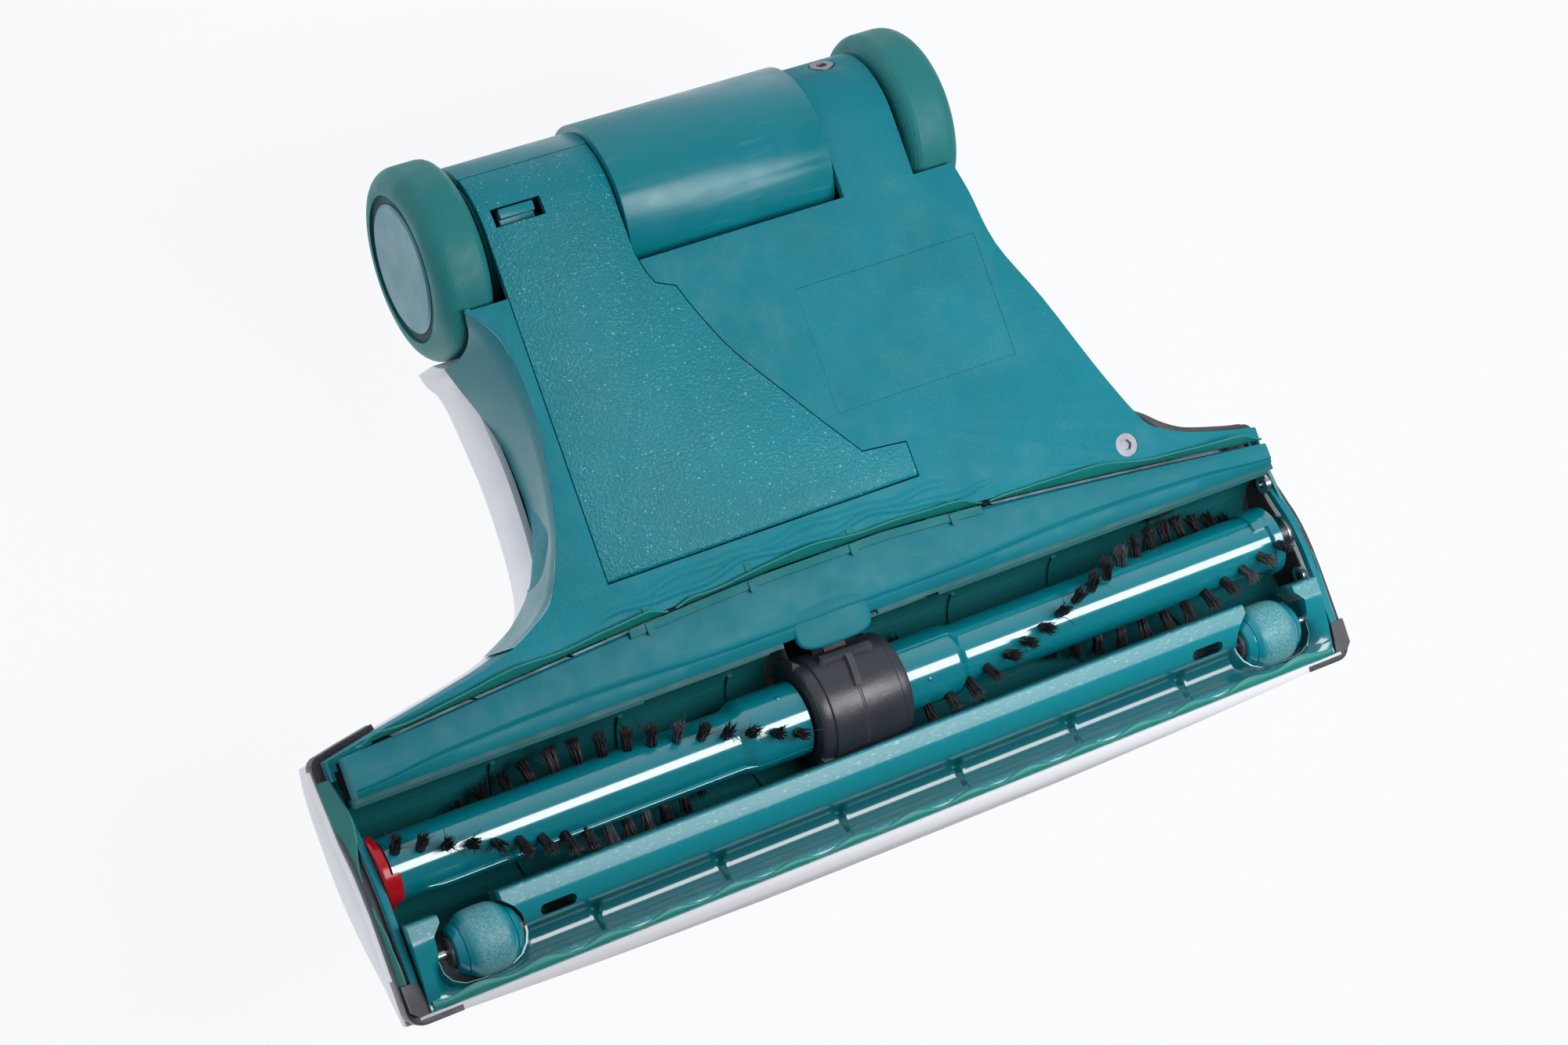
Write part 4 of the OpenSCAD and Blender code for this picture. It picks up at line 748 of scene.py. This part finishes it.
def end_cup():
    """The red cap: a cup over the tube's end whose inner edge reaches further in over a window
    of angle, with a straight step at each side of it."""
    a = np.unique(np.concatenate([np.arange(-180, 180, 5.0), np.arange(-56, -52, 0.5),
                                  np.arange(-7, -3, 0.5)]))
    long = smooth(a + 54.5)*(1 - smooth(a + 5.5))
    inner, outer = 168.2 - 2.6*long, 0*a + 171.1
    x = np.stack([inner + 0.5, inner, inner, inner + 0.35, outer - 0.6, outer, outer, outer - 0.7])
    r = np.array([8.4, 8.4, 11.65, 12.0, 12.0, 11.5, 8.6, 8.4])
    p = Patches()
    loop = about(BRUSH, x, r[:, None] + 0*x, a[None, :])
    p.grid(np.concatenate([loop, loop[:1]]), wrap=True)
    return p.mesh("end_cap_cup")


instead("end_cap", "end_cap_cup", end_cup(), "red")

# ------------------------------------------------------------------ front frame and rollers

RIB = (abs(ROLLER_X[1]) - 37.5)/2.5
FRONT_ENDS = (-168.4, 170.6)
# The plane of the upper side of what is cut through the bar.
THROUGH = 20


def front_section(x):
    """Section of the front frame at each station: a straight rear face, a worn flat, a glossy
    round, a crease, a hollow channel and a round rim. Near each dimple the channel has a pit of a
    half-round hump's depth, then a low rib that narrows and fades towards the rim."""
    line = [(-95.3, 17), (-95.3, 6.0), (-95.5, 5.4), (-96.0, 5.05), (-97.4, 5), (-98.8, 5),
            (-100.2, 5.02), (-101.6, 5.2), (-103.0, 5.6), (-104.3, 6.15), (-105.6, 6.85), (-106.8, 7.7),
            (-107.8, 8.6), (-108.6, 9.5), (-109.1, 10.2), (-109.9, 11.3), (-110.7, 12.1),
            (-111.5, 12.7), (-112.3, 13.05), (-113.1, 13.3), (-113.9, 13.4), (-114.8, 13.35),
            (-115.7, 13.15), (-116.6, 12.75), (-117.4, 12.2), (-118.2, 11.5), (-118.9, 10.8),
            (-119.6, 10.2), (-120.4, 9.8), (-121.2, 9.6), (-122.2, 9.5), (-122.8, 9.8), (-123, 10.6),
            (-123, 17)]
    p = np.broadcast_to(np.array(line, float), (len(x), len(line), 2)).copy()
    y = p[..., 0]
    off = (x[:, None]/RIB - 0.5) - np.round(x[:, None]/RIB - 0.5)
    near = (np.abs(x) < 2.9*RIB)[:, None]
    dx = off*RIB
    pit = bell(dx/2.4)*bell((y + 111.7)/2.3)*near
    width = np.clip(1.6 - 0.14*(-113.6 - y), 0.5, 1.6)
    rib = bell(dx/width)*smooth((-112.6 - y)/1.4)*(1 - smooth((-117.6 - y)/3.2))*near
    p[..., 1] += 3.0*pit - 1.5*rib
    # Beyond the rollers the channel is filled: the end blocks slope down to the corners.
    filled = 5 + 4.8*np.clip((-101.5 - y)/20, 0, 1)**1.15
    low = (p[..., 1] < 16) & (y < -101.5)
    share = smooth((np.abs(x) - 162)/3.5)[:, None]
    p[..., 1] = np.where(low, p[..., 1]*(1 - share) + np.minimum(p[..., 1], filled)*share, p[..., 1])
    return p


def prism(levels):
    """A solid through XY outlines of equal length, each given with its height."""
    p = Patches()
    p.rod(np.stack([np.column_stack([np.array(line, float), np.full(len(line), z)])
                    for z, line in levels]))
    return p.mesh("prism")


BAY = [(-7.7, -94), (-7.7, -98.4), (-10.9, -101.4), (-12.6, -104.4), (-13.2, -107.6), (-12.9, -110.6),
       (-11.6, -113.6), (-9.2, -116.2), (-5.6, -117.9), (-1, -118.6), (5, -118.7), (10.2, -118.2),
       (13.6, -116.2), (15.6, -113.2), (16, -109), (15.9, -101.2), (12.9, -97.8), (12.9, -94)]


def bay_room(s):
    """The open room of a roller: a notch at the back, a diagonal at the bar's end, and a round
    front that follows the barrel."""
    line = [(s*(abs(ROLLER_X[s]) + dx), y) for dx, y in BAY]
    return prism([(0, line), (THROUGH, line)])


def bay_bowl(s):
    """The wall round the front of a bay, thicker at the bar's end, with a slanted rim."""
    def ring(grow):
        """The bay's outline moved out by grow, and a little more on the bar's side."""
        return [(s*(abs(ROLLER_X[s]) + dx*(1 + grow/14) + (-0.6 if dx < 0 else 0)),
                 y - grow*(0.9 if y < -112 else 0)) for dx, y in BAY[3:-3]]
    return prism([(9.4, ring(0.1)), (11.6, ring(1.5)), (13.5, ring(2.3)), (16, ring(2.6))])


def slot_cutter(s):
    """A slot with round ends, standing through the bar near its end."""
    x0, x1, y, r = abs(ROLLER_X[s]) - 31.2, abs(ROLLER_X[s]) - 18.8, -105.9, 1.7
    turn = np.radians(np.linspace(-90, 90, 7))
    right = [(x1 - r + r*math.cos(t), y + r*math.sin(t)) for t in turn]
    left = [(x0 + r - r*math.cos(t), y - r*math.sin(t)) for t in turn]
    line = [(s*px, py) for px, py in right + left]
    return prism([(0, line), (THROUGH, line)])


def front_frame():
    x = spaced(*FRONT_ENDS, 4, *((i*RIB, 4, 0.5) for i in np.arange(-2.5, 3)))
    p = Patches()
    p.rod(swept(x, front_section(x)))
    cutters = [f(s) for f in (bay_room, slot_cutter) for s in (1, -1)]
    return carve(p.mesh("front_frame_bar", sharp=40), cutters, [bay_bowl(1), bay_bowl(-1)], sharp=32)


instead("front_frame", "front_frame_moulded", front_frame(), "bar")


def roller(s):
    """A barrel turned about its pin, with a hub and a fine groove near each end."""
    half = [(10.4, 0.01), (10.4, 5.2), (11.0, 5.4), (11.0, 6.2), (10.7, 6.9), (9.9, 7.6), (8.9, 8.3),
            (8.4, 8.5), (8.25, 8.25), (8.05, 8.75), (7.0, 9.6), (5.6, 10.3), (4.2, 10.75), (2.4, 10.95),
            (0, 11.0)]
    line = [(-dx, r) for dx, r in half] + [(dx, r) for dx, r in half[-2::-1]]
    p = Patches()
    p.rod(turned(ROLLER, [(ROLLER_X[s] + dx, r) for dx, r in line], 72))
    mesh = p.mesh("roller_barrel", sharp=24)
    place = np.zeros(len(mesh.vertices)*3, np.float32)
    mesh.vertices.foreach_get("co", place)
    off = np.abs(place[::3]/MM - ROLLER_X[s])
    worn = (1 - smooth((off - 4.8)/1.8)).astype(np.float32)
    mesh.attributes.new("worn", "FLOAT", "POINT").data.foreach_set("value", worn)
    return mesh


def roller_hubs(s):
    """The dark bushes that stand out of both ends of a barrel."""
    p = Patches()
    for side in (-1, 1):
        line = [(9.6, 1.6), (9.6, 5.1), (11.7, 5.1), (12.2, 4.6), (12.2, 1.6)]
        loop = turned(ROLLER, [(ROLLER_X[s] + side*dx, r) for dx, r in line], 48)
        p.grid(np.concatenate([loop, loop[:1]]), wrap=True)
    return p.mesh("roller_hubs")


for side_name, s in (("left", 1), ("right", -1)):
    node = f"roller_{side_name}"
    instead(node, f"{node}_barrel", roller(s), "roller")
    beside(node, f"{node}_hubs", roller_hubs(s), "black")


def lip_wave(x):
    """Slow uneven waves between -1 and 1 along a soft lip: three sines of unlike lengths."""
    return 0.55*np.sin(x/8.6 + 0.4) + 0.3*np.sin(x/15.7 + 1.9) + 0.15*np.sin(x/4.3 + 0.7)


def front_lip():
    """A thin soft sheet along the nose. Its free edge waves, two bulges to each dimple, and is
    wider towards both ends."""
    x = spaced(FRONT_ENDS[0] + 1, FRONT_ENDS[1] - 1, 2)
    wide = 2.0 + 1.1*smooth((np.abs(x) - 118)/26) + 0.8*np.cos(4*math.pi*x/RIB) + 0.35*lip_wave(x)
    t = np.linspace(0, 1, 5)
    y = -122.75 + np.maximum(wide, 0.5)[:, None]*t[None, :]
    z = 9.55 - 0.75*np.sin(t*2.4)[None, :] + 0*y
    low = np.stack([x[:, None] + 0*y, y, z - 0.25], axis=-1)
    p = Patches()
    p.plate(low, low + [0, 0, 0.5])
    return p.mesh("front_lip_sheet")


instead("front_lip", "front_lip_sheet", front_lip(), "lip")

# ------------------------------------------------------------------ drive housing

HOUSING = (-12.5, 21.5)
HOUSING_R = 18.4
ARM = (-3.5, 12.5)
ARM_NEAR_R, ARM_FAR_R = 10.2, 9.6


def housing_body():
    """The round black housing: a wide middle band, and a slightly smaller ring at each end, its
    corners rounded."""
    a, b = HOUSING
    line = [(a, 9), (a, 16.4), (a + 0.5, 17.2), (a + 1.4, 17.6), (a + 3.6, 17.7), (a + 4.0, 18.25),
            (a + 4.6, HOUSING_R), (b - 5.2, HOUSING_R), (b - 4.6, 18.25), (b - 4.2, 17.6),
            (b - 1.4, 17.3), (b - 0.5, 16.7), (b, 15.8), (b, 9)]
    p = Patches()
    p.rod(turned(BRUSH, line, 96))
    return p


def on_housing(p, path, half, height, seat_depth=0.4):
    """A raised rib along a path of (X, angle) points on the housing: its section is a flat top
    with slanted sides, its ends are closed, and its root is sunk in the surface."""
    path = np.array(path, float)
    mm = np.stack([path[:, 0], np.radians(path[:, 1])*HOUSING_R], axis=1)
    ahead = np.gradient(mm, axis=0)
    ahead /= np.linalg.norm(ahead, axis=1)[:, None]
    across = np.stack([-ahead[:, 1], ahead[:, 0]], axis=1)
    offset = np.array([-half - 0.6, -half - 0.45, -half + 0.15, half - 0.15, half + 0.45, half + 0.6])
    lift = np.array([-seat_depth, 0, height, height, 0, -seat_depth])
    flat = mm[:, None, :] + across[:, None, :]*offset[None, :, None]
    p.rod(about(BRUSH, flat[..., 0], HOUSING_R + lift[None, :], np.degrees(flat[..., 1]/HOUSING_R)))


housing = housing_body()
on_housing(housing, [(x, 50.2 + 0.13*(x - 4)) for x in np.linspace(12.9, -5.4, 9)], 1.3, 1.5)
on_housing(housing, [(12.4, 51.2), (12.0, 47.5), (11.2, 44.5)], 0.9, 1.3)
on_housing(housing, [(3.4, 49), (3.9, 40), (4.7, 28), (5.3, 18), (5.7, 10.5)], 1.25, 1.4)
on_housing(housing, [(5.7, a) for a in np.linspace(10, -55, 20)], 0.16, 0.22)
# Skirt where the arm leaves the housing at the back, on its left, and the small foot below it.
skirt = np.array([(15.6, 14.0), (17.4, 16.4), (19.2, 18.2), (20.6, 19.2), (21.2, 19.0), (21.3, 16.4),
                  (18.0, 14.0)])
turn = np.linspace(62, 128, 16)
housing.rod(about(BRUSH, skirt[:, 0][None, :], skirt[:, 1][None, :], turn[:, None]))
foot = np.array([(15.2, 16.4), (15.4, 18.9), (16.2, 19.2), (20.4, 19.0), (21.2, 18.4), (21.4, 16.0)])
housing.rod(about(BRUSH, foot[:, 0][None, :], foot[:, 1][None, :], np.linspace(-82, -66, 7)[:, None]))
# The arm to the motor, closed with the same round ends as the belt's run.
motor = middle("motor_pulley")
run_y, run_z = motor[1] - BRUSH[0], motor[2] - BRUSH[1]
lean = math.degrees(math.atan2(run_z, run_y))
far_turn = np.radians(np.linspace(-90, 90, 13) + lean)
near_turn = far_turn + math.pi
arm = np.concatenate([
    np.stack([y + r*np.cos(turn), z + r*np.sin(turn)], axis=1)
    for y, z, r, turn in ((*BRUSH, ARM_NEAR_R, near_turn), (*motor[1:], ARM_FAR_R, far_turn))])
arm_piece = Patches()
arm_piece.rod(swept(ARM, arm))
# The arm is drawn in painted shade, darker and duller than the housing.
beside("drive_housing", "drive_arm", arm_piece.mesh("drive_arm"), "dark")
instead("drive_housing", "drive_housing_moulded",
        housing.mesh("drive_housing_moulded", sharp=30), "black")

# ------------------------------------------------------------------ rear bar and lips


def lip_line(x):
    """The front edge of the underside plate: level in the middle, then curving forward, further
    on the right than on the left."""
    return -30 - np.where(x > 0, 8.4, 13.5)*(np.maximum(0, np.abs(x) - 20)/140)**1.25


def ridge_line(x):
    """The fine ridge along the rear bar, which bows a little back between the middle and the
    ends."""
    return -50 + 1.9*bell((np.abs(x) - 98)/62) - 2.0*smooth((np.abs(x) - 140)/30)


def rear_bar():
    """Section at each station: a broad band that falls from the lips to a fine ridge, a narrow
    groove, a slanted band to the inner edge, and the wall up into the mouth."""
    x = spaced(-168.6, 170.6, 4, (14, 7, 1), (-4, 7, 1))
    back, ridge = lip_line(x) - 2.2, ridge_line(x)
    band = [(0.0, 17), (0.0, 8.4), (0.06, 7.7), (0.3, 7.45), (0.6, 7.3), (0.9, 7.35), (0.965, 7.3),
            (1.0, 7.05)]
    rows = [np.stack([back + (ridge - back)*t, np.full_like(x, z)], axis=-1) for t, z in band]
    inner = -54.45
    for t, z in ((0.08, 7.35), (0.2, 7.75), (0.36, 7.6), (0.9, 8.5), (1.0, 8.9), (1.0, 17)):
        rows.append(np.stack([ridge + (inner - ridge)*t, np.full_like(x, z)], axis=-1))
    p = Patches()
    p.rod(swept(x, np.stack(rows, axis=1)))
    # The smooth tab under the drive housing: a flat tongue with round corners and edges.
    turn = np.radians(np.arange(0, 361, 15))
    reach_x = np.sign(np.cos(turn))*np.abs(np.cos(turn))**0.55
    reach_y = np.sign(np.sin(turn))*np.abs(np.sin(turn))**0.55
    tab = [np.stack([5 + (14 - cut)*reach_x, -52.5 + (7.6 - cut)*reach_y, 0*turn + z], axis=-1)
           for cut, z in ((0.0, 9.4), (0.0, 8.3), (0.5, 7.6), (1.3, 7.3))]
    p.rod(np.stack(tab)[:, :-1])
    return p.mesh("rear_bar_moulded", sharp=28)


instead("rear_bar", "rear_bar_moulded", rear_bar(), "rear")

LIP_ENDS = [(-166, -60), (-58, 56), (58, 167)]


def rear_lips():
    """Three thin soft sheets that lean back from their root under the plate's front edge. The
    free edge waves in and out and up and down."""
    p = Patches()
    for a, b in LIP_ENDS:
        x = spaced(a + 0.5, b - 0.5, 1.5)
        t = np.linspace(0, 1, 6)[None, :]
        wave = lip_wave(x)[:, None]
        ends = (smooth((x - a)/8)*smooth((b - x)/8))[:, None]
        root = lip_line(x)[:, None] - 1.0
        y = root + (1.9 + 1.3*wave)*ends*t**1.3
        z = 6.9 - (4.3 + 0.5*wave)*t + 0.9*(1 - ends)*t
        place = np.stack([x[:, None] + 0*y, y, z], axis=-1)
        p.plate(place, place + [0, 0.55, 0.12])
    return p.mesh("rear_lips_sheets", sharp=50)


instead("rear_lips", "rear_lips_sheets", rear_lips(), "lip")


def strips():
    """Bright metal strips ahead of the outer lips, cut on the slant where lengths meet."""
    p = Patches()
    for a, b in ((-150, -62), (60, 92), (93.5, 126), (127.5, 155)):
        x = spaced(a, b, 3)
        slant = np.array([-0.7, 0.7])[None, :]
        y = lip_line(x)[:, None] - np.array([2.1, 1.35])[None, :]
        ends = (x[:, None] == x[[0, -1]]).any(axis=1)[:, None]
        place = np.stack([x[:, None] + slant*ends, y, 6.6 + 0*y], axis=-1)
        p.plate(place, place + [0, 0, 0.5])
    return p.mesh("lip_strips_cut")


instead("lip_strips", "lip_strips_cut", strips(), "strip")


def carrier():
    """The grey-green band that holds the middle lip, with short tabs hooked across it and
    across the plate behind it."""
    p = Patches()
    x = spaced(-58, 72, 3)
    y = lip_line(x)[:, None] - np.array([4.4, 4.2, 1.5])[None, :]
    z = np.array([7.2, 6.5, 6.3])[None, :] + 0*y
    place = np.stack([x[:, None] + 0*y, y, z], axis=-1)
    p.plate(place, place + [0, 0, 0.6])
    for cx in (64.9, 27.5, -9.8, -47.2):
        at = float(lip_line(np.array([cx]))[0])
        for y0, y1, z0, w in ((at - 5.6, at - 1.7, 5.9, 1.3), (at + 1.0, at + 3.6, 4.55, 1.3)):
            corners = [(cx - w, y0 + 0.5), (cx - w + 0.5, y0), (cx + w - 0.5, y0), (cx + w, y0 + 0.5),
                       (cx + w, y1), (cx - w, y1)]
            p.rod(np.array([[(px, py, z) for px, py in corners] for z in (z0, z0 + 0.9)]))
    return p.mesh("lip_carrier", sharp=30)


beside("rear_bar", "lip_carrier", carrier(), "carrier")


BUMPER_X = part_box("bumper_left")[1][0]/MM
ARCH_R = 34.1


def rim_at(y):
    """Height of the rim along the ends of the head."""
    return np.interp(y, [-120, -90, -77, -66, -56, -44], [14.2, 14.2, 16.7, 21.7, 23.7, 26.2])


def side_lips():
    """Soft lips along both ends, with a lower edge that waves."""
    p = Patches()
    edge = [(-118, 12.6), (-107, 12.5), (-97, 12.6), (-84, 15.4), (-72, 17.2), (-60, 18), (-53, 20),
            (-46, 22.4)]
    y = spaced(-117.5, -46.5, 2)
    low = np.interp(y, *np.array(edge).T) + 0.35*lip_wave(y*2.1)
    rim = rim_at(y)
    t = np.linspace(0, 1, 4)[None, :]
    for s in (1, -1):
        x = s*(BUMPER_X + 0.2 - 0.75*(rim + 1.2 - low)[:, None]*t)
        z = (rim + 1.2)[:, None]*(1 - t) + low[:, None]*t
        place = np.stack([x, y[:, None] + 0*t, z], axis=-1)
        p.plate(place, place + [s*-0.5, 0, 0])
    return p.mesh("side_lips_sheets", sharp=50)


instead("side_lips", "side_lips_sheets", side_lips(), "lip")


def edge_band():
    """The shell's lower edge along both ends, drawn down over the bumpers between the corners."""
    p = Patches()
    y = spaced(-110.5, -42.5, 2)
    t = np.linspace(0, 1, 5)[None, :]
    for s in (1, -1):
        x = s*(BUMPER_X + 0.45 - 0.6*t**3) + 0*y[:, None]
        place = np.stack([x, y[:, None] + 0*t, rim_at(y)[:, None] + 1.9 + 8.6*t], axis=-1)
        p.plate(place, place - [s*0.7, 0, 0])
    return p.mesh("shell_edge_band", sharp=40)


beside("upper_housing", "shell_edge_band", edge_band(), "white")


def painted_shade_end_sheet():
    """A dark sheet of painted shade on the inner face of the shell beside the right bearing."""
    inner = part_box("end_eyelets")[0][0]/MM
    y = np.linspace(-101, -56, 10)
    top = 38 - 6*((y + 78.5)/22.5)**2
    p = Patches()
    t = np.linspace(0, 1, 6)[None, :]
    low = rim_at(y) + 2
    z = low[:, None] + (top - low)[:, None]*t
    place = np.stack([inner + 0.05 + 0*z, y[:, None] + 0*z, z], axis=-1)
    p.plate(place, place + [0.4, 0, 0])
    return p.mesh("painted_shade_end_sheet")


# The end sheet is painted shade, in the dark disc finish.
beside("brush_chamber", "painted_shade_end_sheet", painted_shade_end_sheet(), "disc")


def corner_fills():
    """Soft blocks that close the front corners between the frame's ends and the bumpers."""
    line = [(169.6, -122.9), (174.2, -123.1), (176.2, -121), (176.4, -112.5), (171.4, -112.5),
            (170.6, -118)]
    p = Patches()
    for s in (1, -1):
        p.rod(np.array([[(s*px, py, z) for px, py in line] for z in (10.6, 11.0, 15.5)]))
    return p.mesh("bumper_corner_fills")


beside("bumper_left", "bumper_corner_fills", corner_fills(), "bumper")

# ------------------------------------------------------------------ sides and plate

# (y, x) curves of the waist's side at the plate and at the seam.
WAIST_LOW = [(-40, 160), (-28.9, 114.5), (-22, 99.5), (-15.8, 92.3), (2, 84.6), (21.8, 80.2),
             (41.8, 78.2), (56, 78.9), (65.5, 81.2), (72, 85.4), (77.5, 89.2)]
WAIST_HIGH = [(-40, 160), (-28.9, 114.6), (-22, 99.6), (-15.8, 92.4), (-8, 86.0), (1.8, 81.6),
              (16, 80.5), (31.6, 81.1), (39, 82.7), (47.5, 85.4), (56, 88.6), (63.7, 91.2), (78, 94)]


def waist_side():
    """The satin side of the waist: between the plate's edge and the seam, X blends from one
    curve to the other with height, and the rear end follows the wheel arch."""
    v = np.linspace(0, 1, 12)[None, :]
    u = np.linspace(0, 1, 70)[:, None]
    z = 5.2 + 28.6*v + 0*u
    arch = WHEEL[0] - np.sqrt(ARCH_R**2 - (WHEEL[1] - z)**2)
    y = arch + (-27 - arch)*u
    low, high = (np.interp(y, *np.array(line).T) for line in (WAIST_LOW, WAIST_HIGH))
    soft = 1.0*np.clip(1 - v/0.10, 0, 1)**2
    x = low + (high - low)*v**0.85 + 0.85 - soft
    for _ in range(3):
        x[1:-1] = (x[:-2] + 2*x[1:-1] + x[2:])/4
    place = np.stack([x, y, z], axis=-1)
    p = Patches()
    p.plate(place, place - [1.5, 0, 0])
    return p.mesh("waist_side_left")


beside("base_plate", "waist_side_left", waist_side(), "side")


# The ripples stop short of the front screw.
SCREW_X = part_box("housing_screws")[0][0]/MM + 3.6
PLATE_Z = 5.05


def plate_ripples():
    """Low rounded waves pressed in the plate between the cover and the lips: a hump across a
    path that wanders with two sines."""
    p = Patches()
    across = np.linspace(-1, 1, 9)
    for lead, reach, wide, high, a, b in ((4.3, 1.0, 1.7, 0.8, -66, 86),
                                          (7.9, 0.8, 2.0, 0.65, -52, 76),
                                          (4.6, 0.8, 1.6, 0.6, SCREW_X + 8, -84)):
        x = spaced(a, b, 1.5)
        ends = smooth((x - a)/10)*smooth((b - x)/10)
        y = lip_line(x) + lead + reach*np.sin(x/7.4 + lead) + 0.5*np.sin(x/3.7)
        yy = y[:, None] + wide*across[None, :]
        z = PLATE_Z - (high*ends)[:, None]*bell(across)[None, :]
        place = np.stack([x[:, None] + 0*yy, yy, z], axis=-1)
        p.plate(place, place*[1, 1, 0] + [0, 0, 5.6])
    return p.mesh("plate_ripples", sharp=60)


beside("base_plate", "plate_ripples", plate_ripples(), "plate")

# ------------------------------------------------------------------ mouldings kept from the CAD

for name, width in (("base_plate", 0.8), ("channel_cover", 0.5), ("left_cheek", 0.5),
                    ("bumper_left", 0.8), ("bumper_right", 0.8), ("upper_housing", 0.5),
                    ("tilt_drum", 0.4), ("cover_latch", 0.3), ("neck_tube", 0.5)):
    softened(name, width)
